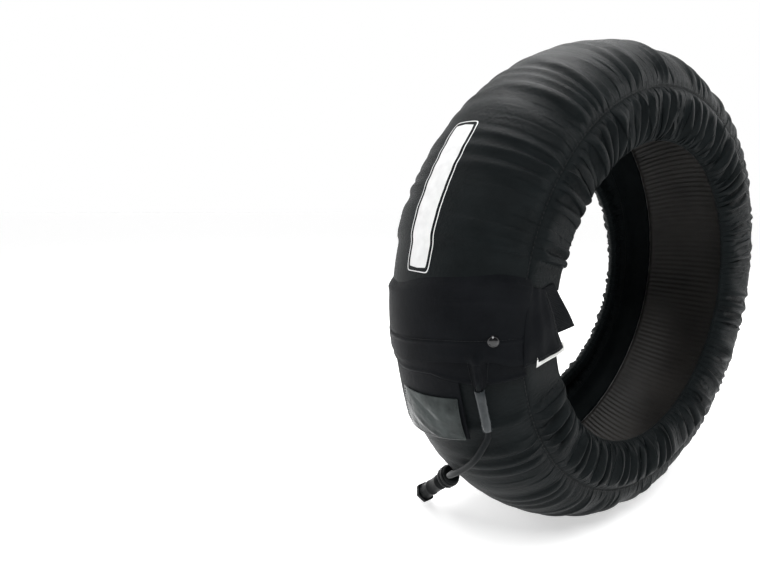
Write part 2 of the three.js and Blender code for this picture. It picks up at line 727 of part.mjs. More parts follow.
function makePlug() {
  const bodyStart = glandLength + layerGap;
  const bodyEnd = plugLength;
  const spigot = bodyRadius - 3;
  // A domed nut with two steps, open at the rear for the lead and at the front for the body's spigot.
  add("gland_nut", turned([
    [glandBore, 0], [glandRadius - 4, 0], [glandRadius - 1.2, 3.5], [glandRadius - 1.2, 5.5],
    [glandRadius, 6.5], [glandRadius, 12], [glandRadius - 1.5, 13], [glandRadius - 1.5, glandLength],
    [spigot + layerGap, glandLength], [spigot + layerGap, 7], [glandBore, 7], [glandBore, 0],
  ], plugSides), "plastic", plugPlace(0));
  add("gland_seal", ring(leadDiameter / 2 + layerGap, spigot - 0.4, 7 + layerGap, 11, plugSides), "rubber",
    plugPlace(0));
  const shell = turned([
    [leadDiameter / 2 + 1, 11 + layerGap], [spigot, 11 + layerGap], [spigot, bodyStart],
    [bodyRadius, bodyStart], [bodyRadius, bodyEnd - collarLength - 1.5],
    [bodyRadius + 0.8, bodyEnd - collarLength], [bodyRadius + 0.8, bodyEnd],
    [mouthRadius, bodyEnd], [mouthRadius, bodyEnd - mouthDepth], [leadDiameter / 2 + 1, bodyEnd - mouthDepth],
    [leadDiameter / 2 + 1, 11 + layerGap],
  ], plugSides);
  add("plug_body", shell, "plastic", plugPlace(0));
  const hexagon = new THREE.Shape(round(collarRadius, 6).getPoints());
  hexagon.holes.push(new THREE.Path(round(bodyRadius + 0.8 + layerGap, plugSides).getPoints().reverse()));
  const collar = new THREE.ExtrudeGeometry(hexagon, { depth: collarLength - 1, bevelEnabled: false });
  add("plug_collar", collar, "plastic", plugPlace(bodyEnd - collarLength + 0.5));
  const insertDepth = 7;
  const insertFace = bodyEnd - mouthDepth + layerGap + insertDepth;
  const pinRadius = 1.2;
  const pinCircle = 4.6;
  const pinSpots = [90, 210, 330].map((a) => new THREE.Vector2(
    pinCircle * Math.cos(THREE.MathUtils.degToRad(a)),
    pinCircle * Math.sin(THREE.MathUtils.degToRad(a)),
  ));
  const insert = new THREE.Shape(round(mouthRadius - layerGap, plugSides).getPoints());
  pinSpots.forEach((spot) => {
    const bore = round(pinRadius + layerGap, 8).getPoints().map((point) => point.add(spot));
    insert.holes.push(new THREE.Path(bore.reverse()));
  });
  add("pin_insert", new THREE.ExtrudeGeometry(insert, { depth: insertDepth, bevelEnabled: false }), "rubber",
    plugPlace(insertFace - insertDepth));
  pinSpots.forEach((spot, i) => {
    const length = insertDepth + 6;
    const pin = new THREE.CylinderGeometry(pinRadius, pinRadius, length, 8).rotateX(Math.PI / 2);
    pin.translate(spot.x, spot.y, length / 2 + 0.5);
    add(`contact_pin_${i + 1}`, pin, "brass", plugPlace(insertFace - insertDepth));
  });
}

// The free lead between the clear tube and the plug, hanging clear of the tread. Points chosen by hand.
const leadRoute = [
  [-281, -74, 182],
  [-280, -61, 161],
  [-275, -40, 139],
  [-267, -13, 116],
  [-250, 14, 95],
];

function makeFreeLead() {
  const intoPlug = 9; // the lead goes this far into the gland
  const points = [
    tubeEnd.clone().addScaledVector(tubeDirection, layerGap),
    tubeEnd.clone().addScaledVector(tubeDirection, 7),
    ...leadRoute.map((spot) => new THREE.Vector3(...spot)),
    plugRear.clone().addScaledVector(plugAxis, -8),
    plugRear.clone().addScaledVector(plugAxis, intoPlug),
  ];
  const path = new THREE.CatmullRomCurve3(points, false, "centripetal");
  add("supply_lead", along(round(leadDiameter / 2, 8), points, 18), "rubber");
  return path.getLength();
}

makeTreadCover();
makeSkirt("near_skirt", -1);
makeSkirt("far_skirt", 1);
makeElastic("near_hem_elastic", -1);
makeElastic("far_hem_elastic", 1);
makeFelt();
makeHeatingWire();
makeLiner();
makeThermostat();
makeClosureStrips();
makePressStud("near", -1);
makePressStud("far", 1);
makeWing("near_wing", -1);
makeWing("far_wing", 1);
makeTab("near_tab", -1);
makeTab("far_tab", 1);
makeLabel();
makePocket();
makeHeldLead();
makeSleeve();
makeClearTube();
makeCores();
makePlug();
makeFreeLead();

export default group;
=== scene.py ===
"""The looks of a motorcycle tyre warmer, laid out as a Blender add-on.

Each operator makes one piece or one group of pieces. The sizes they share are in the property
groups. The fabric is relaxed as a cloth grid over the tyre's shape: it is fuller than the tyre
at its edges, so it gathers.
"""

import math

import bmesh
import bpy
import numpy as np
from mathutils import Matrix, Vector


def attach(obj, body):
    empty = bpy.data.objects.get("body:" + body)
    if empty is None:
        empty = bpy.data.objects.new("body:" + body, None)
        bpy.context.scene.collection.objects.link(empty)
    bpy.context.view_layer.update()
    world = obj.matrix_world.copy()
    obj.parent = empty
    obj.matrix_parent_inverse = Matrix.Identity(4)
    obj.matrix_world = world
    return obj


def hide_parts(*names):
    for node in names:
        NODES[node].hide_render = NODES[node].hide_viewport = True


bl_info = {
    "name": "Tyre warmer",
    "version": (1, 0, 0),
    "blender": (4, 5, 0),
    "location": "View3D > Sidebar > Tyre warmer",
    "description": "Builds a padded motorcycle tyre warmer with gathered skirts",
    "category": "Object",
}

BODY = "root"
FULL_TURN = 2 * math.pi
MM = 0.001
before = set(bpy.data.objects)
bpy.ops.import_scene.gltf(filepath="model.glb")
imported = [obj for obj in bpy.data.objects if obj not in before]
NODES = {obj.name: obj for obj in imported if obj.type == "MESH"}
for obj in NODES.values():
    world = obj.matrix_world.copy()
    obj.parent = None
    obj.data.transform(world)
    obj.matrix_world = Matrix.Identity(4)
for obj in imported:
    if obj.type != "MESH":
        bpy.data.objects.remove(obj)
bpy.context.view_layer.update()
# The relaxed cloth, for the pieces that lie on it.
RELAXED = {}
# The materials by name.
MADE = {}


def metres(name, description, default):
    """A length in metres that a user can change."""
    return bpy.props.FloatProperty(
        name=name, description=description, default=default, unit="LENGTH", precision=4)


def number(name, description, default):
    """A plain number that a user can change."""
    return bpy.props.FloatProperty(name=name, description=description, default=default, precision=3)


def whole(name, description, default):
    """A whole number that a user can change."""
    return bpy.props.IntProperty(name=name, description=description, default=default)


def colour(name, default):
    """A tone that a user can change."""
    return bpy.props.FloatVectorProperty(
        name=name, description="Tone of the material", default=default, subtype="COLOR", min=0, max=1)


class CoverSizes(bpy.types.PropertyGroup):
    """The fitted cover, in metres, as in the CAD model."""

    crown_radius: metres("Crown radius", "From the axle to the middle of the tread", 0.327)
    half_width: metres("Half width", "From the middle plane to the widest point", 0.1013)
    widest_radius: metres("Widest radius", "From the axle to where the cover is widest", 0.246)
    crown_roundness: number("Crown roundness", "Power of the crown's curve, where 2 is an ellipse", 1.887)
    hem_radius: metres("Hem radius", "From the axle to the edge of the opening", 0.1964)
    hem_offset: metres("Hem offset", "From the middle plane to the hem", 0.090)
    stand_flat: metres("Stand flat", "How far the tread is pressed in where it stands", 0.004)
    seam_place: number("Seam place", "Where the skirt is sewn on, as a share of the crown's side", 0.9)
    fabric: metres("Fabric thickness", "Thickness of the outer fabric", 0.0014)
    flap_lift: metres("Flap lift", "Height of the closing flap above the cover", 0.0050)


class ClothSettings(bpy.types.PropertyGroup):
    """The cloth grid and its fullness."""

    columns: whole("Columns", "Columns of the cloth grid round the wheel", 1200)
    tread_rows: whole("Tread rows", "Rows of the cloth grid across the tread", 60)
    skirt_rows: whole("Skirt rows", "Rows of the cloth grid across each skirt", 30)
    rounds: whole("Rounds", "Rounds of relaxing", 210)
    skirt_fullness: number("Skirt fullness", "The skirt's cloth against the round it is sewn to", 1.36)
    seed: whole("Seed", "Seed of the folds", 7)


class Colours(bpy.types.PropertyGroup):
    """The darkest and lightest tones of the fabrics and the print."""

    cover_low: colour("Cover, dark", (0.0034, 0.0050, 0.0055))
    cover_high: colour("Cover, light", (0.0058, 0.0080, 0.0087))
    panel_low: colour("Panels, dark", (0.0042, 0.0049, 0.0060))
    panel_high: colour("Panels, light", (0.0066, 0.0075, 0.0090))
    lining_low: colour("Lining, dark", (0.0150, 0.0140, 0.0130))
    lining_high: colour("Lining, light", (0.0260, 0.0240, 0.0220))
    print_low: colour("Print, dark", (0.70, 0.70, 0.70))
    print_high: colour("Print, light", (0.78, 0.78, 0.78))


class LeadSizes(bpy.types.PropertyGroup):
    """The supply lead and its plug, in metres."""

    diameter: metres("Lead diameter", "Thickness of the supply lead", 0.007)
    tube_bore: metres("Tube bore", "Inside diameter of the clear tube", 0.0082)
    tube_wall: metres("Tube wall", "Wall of the clear tube", 0.0012)
    tube_length: metres("Tube length", "Length of the clear tube", 0.050)


def sizes():
    return bpy.context.scene.tw_cover


# Section of the cover and places on it.


def section(place):
    """Radius from the axle and distance from the middle plane, for an array of places."""
    s = sizes()
    place = np.asarray(place, float)
    side = np.sign(place)
    share = np.abs(place)
    power = 2 / s.crown_roundness
    a = np.clip(share, 0, 1) * math.pi / 2
    b = np.clip(share - 1, 0, 1) * math.pi / 2
    crown_r = s.widest_radius + (s.crown_radius - s.widest_radius) * np.maximum(np.cos(a), 0) ** power
    crown_y = s.half_width * np.maximum(np.sin(a), 0) ** power
    side_r = s.widest_radius - (s.widest_radius - s.hem_radius) * np.sin(b)
    side_y = s.hem_offset + (s.half_width - s.hem_offset) * np.cos(b)
    on_crown = share <= 1
    return np.where(on_crown, crown_r, side_r), side * np.where(on_crown, crown_y, side_y)


def section_normal(place):
    """The section's outward direction at places, as its share along the radius and along the axle."""
    reach = 1e-3
    r1, y1 = section(np.asarray(place) + reach)
    r0, y0 = section(np.asarray(place) - reach)
    dr, dy = r1 - r0, y1 - y0
    length = np.hypot(dr, dy)
    return dy / length, -dr / length


def centre_height():
    return sizes().crown_radius - sizes().stand_flat


def on_cover(degrees, place, out=0.0):
    """Points at angles and places, moved out of the surface by a height. The arrays broadcast."""
    r, y = section(place)
    nr, ny = section_normal(place)
    r = r + nr * out
    y = y + ny * out
    a = np.radians(degrees)
    x, y, z = np.broadcast_arrays(r * np.cos(a), y + 0 * a, centre_height() + r * np.sin(a))
    return np.stack([x, y, np.maximum(z, 0.0002)], -1)


def place_at(y):
    """The place on the crown at a distance from the middle plane."""
    s = sizes()
    share = min(abs(y) / s.half_width, 1.0)
    return math.copysign(math.asin(share ** (s.crown_roundness / 2)) / (math.pi / 2), y)


def smooth(value, low, high):
    """An eased share from 0 at low to 1 at high."""
    share = np.clip((value - low) / (high - low), 0, 1)
    return share * share * (3 - 2 * share)


def wrapped_noise(rng, angles, waves, depth=1.0):
    """A smooth periodic noise round the wheel from a few random harmonics up to a number of waves."""
    total = np.zeros_like(angles)
    for k in range(1, waves + 1):
        total += rng.normal() * np.cos(k * angles) + rng.normal() * np.sin(k * angles)
    return depth * total / math.sqrt(waves)


# Cloth.


# Step of the grid of distances from the section.
GRID_STEP = 0.001


def signed_grid():
    """Distance from the section's outline by radius and offset, plus outside and minus inside."""
    r_axis = np.arange(0.150, 0.365, GRID_STEP)
    y_axis = np.arange(-0.135, 0.136, GRID_STEP)
    outline = np.stack(section(np.linspace(-2, 2, 500)), -1)
    rr, yy = np.meshgrid(r_axis, y_axis, indexing="ij")
    spots = np.stack([rr.ravel(), yy.ravel()], -1)
    best = np.full(len(spots), np.inf)
    near = np.zeros(len(spots), int)
    for start in range(0, len(outline), 50):
        block = outline[start:start + 50]
        d = ((spots[:, None, :] - block[None]) ** 2).sum(-1)
        pick = d.argmin(1)
        better = d[np.arange(len(spots)), pick] < best
        best[better] = d[better, pick[better]]
        near[better] = start + pick[better]
    tangent = np.gradient(outline, axis=0)
    normal = np.stack([tangent[:, 1], -tangent[:, 0]], -1)
    side = ((spots - outline[near]) * normal[near]).sum(-1)
    distance = (np.sqrt(best) * np.sign(side)).reshape(rr.shape)
    slope_r, slope_y = np.gradient(distance, GRID_STEP)
    return r_axis, y_axis, distance, slope_r, slope_y


def look_up(grid, r, y):
    """Distance from the section at places, and the slope of that distance along each axis."""
    r_axis, y_axis, distance, slope_r, slope_y = grid
    i = np.clip(((r - r_axis[0]) / GRID_STEP + 0.5).astype(int), 0, len(r_axis) - 1)
    j = np.clip(((y - y_axis[0]) / GRID_STEP + 0.5).astype(int), 0, len(y_axis) - 1)
    gr, gy = slope_r[i, j], slope_y[i, j]
    exact = distance[i, j] + gr * (r - r_axis[i]) + gy * (y - y_axis[j])
    return exact, gr, gy


def pull(points, first, second, rest, stiffness, push_only=False):
    """Moves two parts of the grid to their rest distance, or only apart, so that folds don't close."""
    a = points[first]
    b = points[second]
    gap = b - a
    apart = np.sqrt((gap * gap).sum(-1)) + 1e-9
    share = (apart - rest) / apart
    if push_only:
        share = np.minimum(share, 0)
    move = gap * (0.5 * stiffness * share)[..., None]
    points[first] = a + move
    points[second] = b - move


def row_places(cloth, cover):
    """Places of the rows across the cover, close together at the seams and hems."""
    dense = np.linspace(-2, 2, 2001)
    r, y = section(dense)
    along = np.concatenate([[0], np.cumsum(np.hypot(np.diff(r), np.diff(y)))])
    # How far along the section the hem, the seam and the middle of the tread are.
    hem, seam, middle = np.interp([-2, -cover.seam_place, 0], dense, along)
    skirt = np.linspace(0, 1, cloth.skirt_rows)
    half = np.linspace(0, 1, cloth.tread_rows // 2 + 1)
    eased = half ** 1.15
    left = hem + (seam - hem) * skirt
    crown = seam + (middle - seam) * eased
    first_half = np.concatenate([left, crown[1:]])
    places = np.interp(first_half, along, dense)
    places[-1] = 0.0
    return np.concatenate([places, -places[-2::-1]])


def relax_cover():
    """The whole cover as a grid of columns round the wheel and rows across it, relaxed into gathers."""
    cover = sizes()
    cloth = bpy.context.scene.tw_cloth
    rng = np.random.default_rng(cloth.seed)
    columns = cloth.columns
    places = row_places(cloth, cover)
    rows = len(places)
    seam_rows = [cloth.skirt_rows - 1, rows - cloth.skirt_rows]
    angles = np.arange(columns) * FULL_TURN / columns
    degrees = np.degrees(angles)
    share = np.abs(places)
    base_r, base_y = section(places)
    r_step = base_r * FULL_TURN / columns
    # Fullness of the fabric against the round that it lies on.
    crown_step = cover.crown_radius * FULL_TURN / columns
    seam_r = base_r[seam_rows[0]]
    skirt_step = cloth.skirt_fullness * seam_r * FULL_TURN / columns
    is_tread = share <= cover.seam_place + 1e-6
    full_step = np.where(is_tread, crown_step * 1.003, skirt_step)
    from_seam = np.minimum(
        np.abs(np.arange(rows) - seam_rows[0]), np.abs(np.arange(rows) - seam_rows[1])
    )
    held = smooth(from_seam, 0, 3.5)
    to_hem = np.minimum(np.arange(rows), rows - 1 - np.arange(rows))
    hem_hold = 0.55 + 0.45 * smooth(to_hem, 0, 4)
    # The crown is smooth beside the flap and wrinkled at the top and behind.
    from_top = np.minimum(np.abs((degrees - 78) % 360), np.abs((78 - degrees) % 360))
    crown_ease = 1 + 0.010 * smooth(from_top, 95, 30)
    wanted = r_step + (np.maximum(full_step, r_step) - r_step) * held * hem_hold
    # The closure has no gathers: fabric there is cut to the round.
    turn = (degrees[:, None] - 184) % 360
    from_closure = np.minimum(turn, 360 - turn)
    gathered = smooth(from_closure, 10.0, 19.0)
    loose = np.where(is_tread[None], wanted[None] * crown_ease[:, None], wanted[None])
    uneven = 1 + 0.16 * wrapped_noise(rng, angles, 20)[:, None]
    rest_u = r_step[None] + np.maximum((loose - r_step[None]) * gathered * uneven, 0)
    # First shape: waves in proportion to the extra length, small at the seams and hems and larger between.
    base = on_cover(degrees[:, None], places[None])
    nr, ny = section_normal(places)
    points = base.copy()
    out = np.zeros((columns, rows))
    shared_wander = wrapped_noise(rng, angles, 22, 2.2)
    tilt = wrapped_noise(rng, angles, 4, 1.6) + 1.4 * np.cos(angles - 1.2)
    excess = np.maximum(rest_u / r_step[None] - 1, 0.0005)
    for side, seam in ((-1, seam_rows[0]), (1, seam_rows[1])):
        wander = wrapped_noise(rng, angles, 30, 2.4)
        sway = wrapped_noise(rng, angles, 34, 1.2)
        strong = np.clip(0.9 + 0.55 * wrapped_noise(rng, angles, 36), 0.15, 2)
        reach = np.abs(base_y - base_y[seam]) + np.abs(base_r - base_r[seam])
        on_side = np.sign(places) == side if side < 0 else np.sign(places) >= 0
        close = 1 - smooth(reach, 0.004, 0.016)
        hemward = smooth(share, 1.45, 1.9) * (share > cover.seam_place)
        broad_count = np.where(is_tread, 74, 70)
        lean = np.where(is_tread, base_y / cover.half_width, side * (share - cover.seam_place) * 1.6)
        broad = np.cos(
            broad_count[None] * angles[:, None] + shared_wander[:, None] * is_tread[None]
            + wander[:, None] * (0.35 + 0.65 * np.abs(lean[None])) + 1.8 * tilt[:, None] * lean[None])
        tight = np.cos(142 * angles[:, None] + 1.3 * wander[:, None] + 0.9 * tilt[:, None] * lean[None])
        hem = np.cos(118 * angles[:, None] + sway[:, None] + 0.5 * wander[:, None])
        parts = ((broad, (1 - close) * (1 - hemward), broad_count), (tight, close, 142), (hem, hemward, 118))
        for wave, weight, count in parts:
            length = FULL_TURN * base_r / count
            height = length[None] / math.pi * np.sqrt(excess) * strong[:, None]
            out += np.where(on_side[None], weight[None] * np.maximum(wave * 0.85 + 0.3, -0.4) * height, 0)
    normal = np.stack([
        nr[None] * np.cos(angles)[:, None],
        np.broadcast_to(ny[None], (columns, rows)),
        nr[None] * np.sin(angles)[:, None],
    ], -1)
    points += normal * out[..., None]
    points += rng.normal(scale=0.00012, size=points.shape)
    v_step = np.linalg.norm(np.diff(base[0], axis=0), axis=1)
    slack = np.where(share[:-1] > cover.seam_place, 1.06, 1.004 + 0.016 * smooth(share[:-1], 0.35, 0.8))
    rest_v = (v_step * slack)[None]
    inner = np.where(is_tread, -0.0012 - 0.0022 * smooth(share, 0.5, 0.85), -0.0065)
    inner = np.where(from_seam < 2, -0.0034, inner)
    inner = np.minimum(inner, 0)[None]
    grid = signed_grid()
    z0 = centre_height()
    seam_base = {k: (base_r[k] - nr[k] * 0.0016, base_y[k] - ny[k] * 0.0016) for k in seam_rows}
    hems = {0: (base_r[0], base_y[0]), rows - 1: (base_r[-1], base_y[-1])}
    for step in range(cloth.rounds):
        for offset in (0, 1):
            first = np.arange(offset, columns, 2)
            second = (first + 1) % columns
            pull(points, first, second, rest_u[first], 0.9)
        for offset in (0, 1):
            first = (slice(None), slice(offset, rows - 1, 2))
            second = (slice(None), slice(offset + 1, rows, 2))
            pull(points, first, second, rest_v[:, offset::2], 0.9)
        if step % 2 == 0:
            for reach, stiffness in ((2, 0.16), (4, 0.05)):
                for offset in range(reach):
                    first = np.arange(offset, columns, 2 * reach)
                    second = (first + reach) % columns
                    pull(points, first, second, rest_u[first] * reach, stiffness, True)
            for offset in range(2):
                first = (slice(None), slice(offset, rows - 3, 3))
                second = (slice(None), slice(offset + 3, rows, 3))
                n = min(len(range(*first[1].indices(rows))), len(range(*second[1].indices(rows))))
                a = points[:, first[1]][:, :n]
                b = points[:, second[1]][:, :n]
                rest = np.linalg.norm(base[:, second[1]][:, :n] - base[:, first[1]][:, :n], axis=-1)
                gap = b - a
                long = np.sqrt((gap * gap).sum(-1)) + 1e-9
                move = gap * (0.12 * np.minimum((long - rest) / long, 0))[..., None]
                a += move
                b -= move
        # Fullness comes out of the round: the pad below and the air inside push the folds outwards.
        r = np.hypot(points[..., 0], points[..., 2] - z0)
        depth, gr, gy = look_up(grid, r, points[..., 1])
        short = np.maximum(inner - depth, 0)
        over = np.maximum(depth - 0.0120, 0) * 0.6
        if step < cloth.rounds * 0.6:
            short = short + 0.00003
        push = short - over
        ca = points[..., 0] / r
        sa = (points[..., 2] - z0) / r
        points[..., 0] += push * gr * ca
        points[..., 2] += push * gr * sa
        points[..., 1] += push * gy
        for k, (hold_r, hold_y) in {**seam_base, **hems}.items():
            rad = np.hypot(points[:, k, 0], points[:, k, 2] - z0)
            weight = 0.5 if k in seam_base else 0.25
            wish = rad + (hold_r - rad) * weight
            points[:, k, 0] *= wish / rad
            points[:, k, 2] = z0 + (points[:, k, 2] - z0) * wish / rad
            points[:, k, 1] += (hold_y - points[:, k, 1]) * weight
        calm = (1 - gathered) * 0.3
        points += (base - points) * calm[..., None]
        points[..., 2] = np.maximum(points[..., 2], 0.0004)
    # A light smoothing takes out what is finer than a thread.
    side_mean = 0.5 * (np.roll(points, 1, 0) + np.roll(points, -1, 0))
    points += 0.4 * (side_mean - points)
    points[..., 2] = np.maximum(points[..., 2], 0.0003)
    RELAXED.update(points=points, places=places)
    return points, places, seam_rows


def cloth_at(degrees, place, out=0.0):
    """Points on the relaxed cloth, moved out along its normal, for arrays of angles and places."""
    points, places = RELAXED["points"], RELAXED["places"]
    columns = len(points)

    def spot(deg, plc):
        u = (deg % 360) / 360 * columns
        v = np.interp(plc, places, np.arange(len(places)))
        i, j = np.floor(u).astype(int), np.minimum(np.floor(v).astype(int), len(places) - 2)
        fu, fv = (u - i)[..., None], (v - j)[..., None]
        i0, i1 = i % columns, (i + 1) % columns
        low = points[i0, j] * (1 - fu) + points[i1, j] * fu
        high = points[i0, j + 1] * (1 - fu) + points[i1, j + 1] * fu
        return low * (1 - fv) + high * fv

    degrees, place = np.broadcast_arrays(np.asarray(degrees, float), np.asarray(place, float))
    here = spot(degrees, place)
    along = spot(degrees + 0.4, place) - spot(degrees - 0.4, place)
    across = spot(degrees, place + 0.012) - spot(degrees, place - 0.012)
    normal = np.cross(across, along)
    normal /= np.linalg.norm(normal, axis=-1)[..., None]
    radial = here - np.array([0, 0, centre_height()])
    normal *= np.sign((normal * radial).sum(-1))[..., None]
    return here + normal * np.asarray(out)[..., None] if np.ndim(out) else here + normal * out


# Meshes.


def link(name, mesh, material=None):
    """Puts a mesh in the scene as a piece of the body, with a material if one is given."""
    piece = bpy.data.objects.new(name, mesh)
    bpy.context.scene.collection.objects.link(piece)
    if material is not None:
        mesh.materials.append(material)
    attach(piece, BODY)
    return piece


def grid_mesh(name, points, closed_u=False, closed_v=False, caps=False):
    """A quad mesh from a grid of points, with a UV map in metres."""
    columns, rows = points.shape[:2]
    count_u = columns if closed_u else columns - 1
    count_v = rows if closed_v else rows - 1
    i, j = np.meshgrid(np.arange(count_u), np.arange(count_v), indexing="ij")
    i2, j2 = (i + 1) % columns, (j + 1) % rows
    quads = np.stack([i * rows + j, i2 * rows + j, i2 * rows + j2, i * rows + j2], -1).reshape(-1, 4)
    mesh = bpy.data.meshes.new(name)
    faces = quads.tolist()
    if caps and closed_v:
        faces.append(list(range(rows)))
        faces.append([(columns - 1) * rows + k for k in reversed(range(rows))])
    mesh.from_pydata(points.reshape(-1, 3).tolist(), [], faces)
    mesh.update()
    layer = mesh.uv_layers.new(name="UVMap")
    u_len = np.concatenate([[0], np.cumsum(np.linalg.norm(np.diff(points[:, rows // 2], axis=0), axis=1))])
    v_len = np.concatenate([[0], np.cumsum(np.linalg.norm(np.diff(points[columns // 2], axis=0), axis=1))])
    u_all = np.append(u_len, 2 * u_len[-1] - u_len[-2])
    v_all = np.append(v_len, 2 * v_len[-1] - v_len[-2])
    corner_u = np.stack([u_all[i], u_all[i + 1], u_all[i + 1], u_all[i]], -1).reshape(-1)
    corner_v = np.stack([v_all[j], v_all[j], v_all[j + 1], v_all[j + 1]], -1).reshape(-1)
    values = np.zeros(len(mesh.loops) * 2, np.float32)
    values[0:len(corner_u) * 2:2] = corner_u
    values[1:len(corner_v) * 2:2] = corner_v
    layer.data.foreach_set("uv", values)
    mesh.polygons.foreach_set("use_smooth", [True] * len(mesh.polygons))
    return mesh


def face_out(mesh):
    """Turns the faces so that they point away from the wheel's centre."""
    mid = np.array([p.center for p in mesh.polygons]) - np.array((0, 0, centre_height()))
    norm = np.array([p.normal for p in mesh.polygons])
    if (mid * norm).sum(-1).mean() < 0:
        mesh.flip_normals()


def thicken(piece, thickness, offset=-1.0):
    """Gives a sheet its thickness, inwards unless told otherwise."""
    shell = piece.modifiers.new("thickness", "SOLIDIFY")
    shell.thickness = thickness
    shell.offset = offset
    shell.use_rim = True
    return piece


def moved(points, place):
    """A grid of points, moved by a matrix."""
    flat = np.concatenate([points.reshape(-1, 3), np.ones((points.size // 3, 1))], 1)
    return (np.array(place) @ flat.T).T[:, :3].reshape(points.shape)


def from_axle(line):
    """Directions away from the axle at points of a line."""
    away = line * [1, 0, 1] - [0, 0, centre_height()]
    return away / np.linalg.norm(away, axis=1)[:, None]


def in_mm(profile):
    """A profile's corners in metres, from millimetres."""
    return [(r * MM, h * MM) for r, h in profile]


def lathe(name, profile, place, sides=48):
    """A turned piece about a matrix's Z axis, from corners given as radius and height."""
    profile = np.array(profile, float)
    angle = np.arange(sides) * FULL_TURN / sides
    r, h = profile[:, 0], profile[:, 1]
    points = np.stack([
        r[None] * np.cos(angle)[:, None],
        r[None] * np.sin(angle)[:, None],
        np.broadcast_to(h[None], (sides, len(h))),
    ], -1)
    mesh = grid_mesh(name, moved(points, place), closed_u=True)
    clean_mesh(mesh)
    return mesh


def clean_mesh(mesh, distance=1e-6):
    """Merges doubles, fills holes and turns the faces out."""
    shape = bmesh.new()
    shape.from_mesh(mesh)
    bmesh.ops.remove_doubles(shape, verts=shape.verts, dist=distance)
    holes = [e for e in shape.edges if e.is_boundary]
    if holes:
        bmesh.ops.holes_fill(shape, edges=holes, sides=200)
    bmesh.ops.recalc_face_normals(shape, faces=shape.faces)
    shape.to_mesh(mesh)
    shape.free()
    mesh.polygons.foreach_set("use_smooth", [True] * len(mesh.polygons))
    mesh.update()


def sharpen(piece, degrees=35):
    """Bevels the edges a little so that moulded corners catch the light."""
    bevel = piece.modifiers.new("edges", "BEVEL")
    bevel.width = 0.0004
    bevel.segments = 2
    bevel.limit_method = "ANGLE"
    bevel.angle_limit = math.radians(degrees)
    return piece


def tube_points(path, radius, sides=12):
    """Rings of points along a path, with frames that don't twist."""
    path = np.array(path, float)
    tangent = np.gradient(path, axis=0)
    tangent /= np.linalg.norm(tangent, axis=1)[:, None]
    up = np.cross(tangent[0], [0.3, 0.9, 0.1])
    up /= np.linalg.norm(up)
    rings = []
    angle = np.arange(sides) * FULL_TURN / sides
    for p, t in zip(path, tangent):
        up = up - t * np.dot(up, t)
        up /= np.linalg.norm(up)
        side = np.cross(t, up)
        rings.append(p + radius * (np.cos(angle)[:, None] * up + np.sin(angle)[:, None] * side))
    return np.array(rings)


def catmull(points, count):
    """The centripetal curve through points that the CAD model uses, as evenly spaced points."""
    points = [np.array(p, float) for p in points]
    first = 2 * points[0] - points[1]
    last = 2 * points[-1] - points[-2]
    padded = [first, *points, last]
    dense = []
    for k in range(len(points) - 1):
        p0, p1, p2, p3 = padded[k:k + 4]
        t0 = 0.0
        t1 = t0 + max(np.linalg.norm(p1 - p0) ** 0.5, 1e-6)
        t2 = t1 + max(np.linalg.norm(p2 - p1) ** 0.5, 1e-6)
        t3 = t2 + max(np.linalg.norm(p3 - p2) ** 0.5, 1e-6)
        for t in np.linspace(t1, t2, 40, endpoint=False):
            a1 = (t1 - t) / (t1 - t0) * p0 + (t - t0) / (t1 - t0) * p1
            a2 = (t2 - t) / (t2 - t1) * p1 + (t - t1) / (t2 - t1) * p2
            a3 = (t3 - t) / (t3 - t2) * p2 + (t - t2) / (t3 - t2) * p3
            b1 = (t2 - t) / (t2 - t0) * a1 + (t - t0) / (t2 - t0) * a2
            b2 = (t3 - t) / (t3 - t1) * a2 + (t - t1) / (t3 - t1) * a3
            dense.append((t2 - t) / (t2 - t1) * b1 + (t - t1) / (t2 - t1) * b2)
    dense.append(points[-1])
    dense = np.array(dense)
    along = np.concatenate([[0], np.cumsum(np.linalg.norm(np.diff(dense, axis=0), axis=1))])
    even = np.linspace(0, along[-1], count)
    return np.stack([np.interp(even, along, dense[:, k]) for k in range(3)], -1)


def stitches(name, line, normals, material, pitch=0.0032, length=0.0022, radius=0.00035):
    """A row of sewn stitches, each a small rounded thread, along a line of points."""
    line = np.array(line, float)
    normals = np.broadcast_to(np.array(normals, float), line.shape)
    along = np.concatenate([[0], np.cumsum(np.linalg.norm(np.diff(line, axis=0), axis=1))])
    count = max(int(along[-1] / pitch), 1)
    verts = []
    faces = []
    sides = 6

    def at(rows, distance):
        return np.array([np.interp(distance, along, rows[:, k]) for k in range(3)])

    for k in range(count):
        middle = (k + 0.5) * pitch
        a, b = at(line, middle - length / 2), at(line, middle + length / 2)
        n = at(normals, middle)
        n /= np.linalg.norm(n) + 1e-9
        t = b - a
        t /= np.linalg.norm(t) + 1e-9
        w = np.cross(n, t)
        start = len(verts)
        for share, size in ((0.0, 0.3), (0.25, 1.0), (0.75, 1.0), (1.0, 0.3)):
            c = a + (b - a) * share + n * radius * (0.9 if 0 < share < 1 else 0.1)
            for q in range(sides):
                angle = q * FULL_TURN / sides
                around = math.cos(angle) * w + math.sin(angle) * n
                verts.append(tuple(c + size * radius * around))
        for ring in range(3):
            low, high = start + ring * sides, start + (ring + 1) * sides
            for q in range(sides):
                q2 = (q + 1) % sides
                faces.append((low + q, low + q2, high + q2, high + q))
        faces.append(tuple(start + q for q in reversed(range(sides))))
        faces.append(tuple(start + 3 * sides + q for q in range(sides)))
    mesh = bpy.data.meshes.new(name)
    mesh.from_pydata(verts, [], faces)
    mesh.polygons.foreach_set("use_smooth", [True] * len(mesh.polygons))
    mesh.update()
    return link(name, mesh, material)


# Materials.


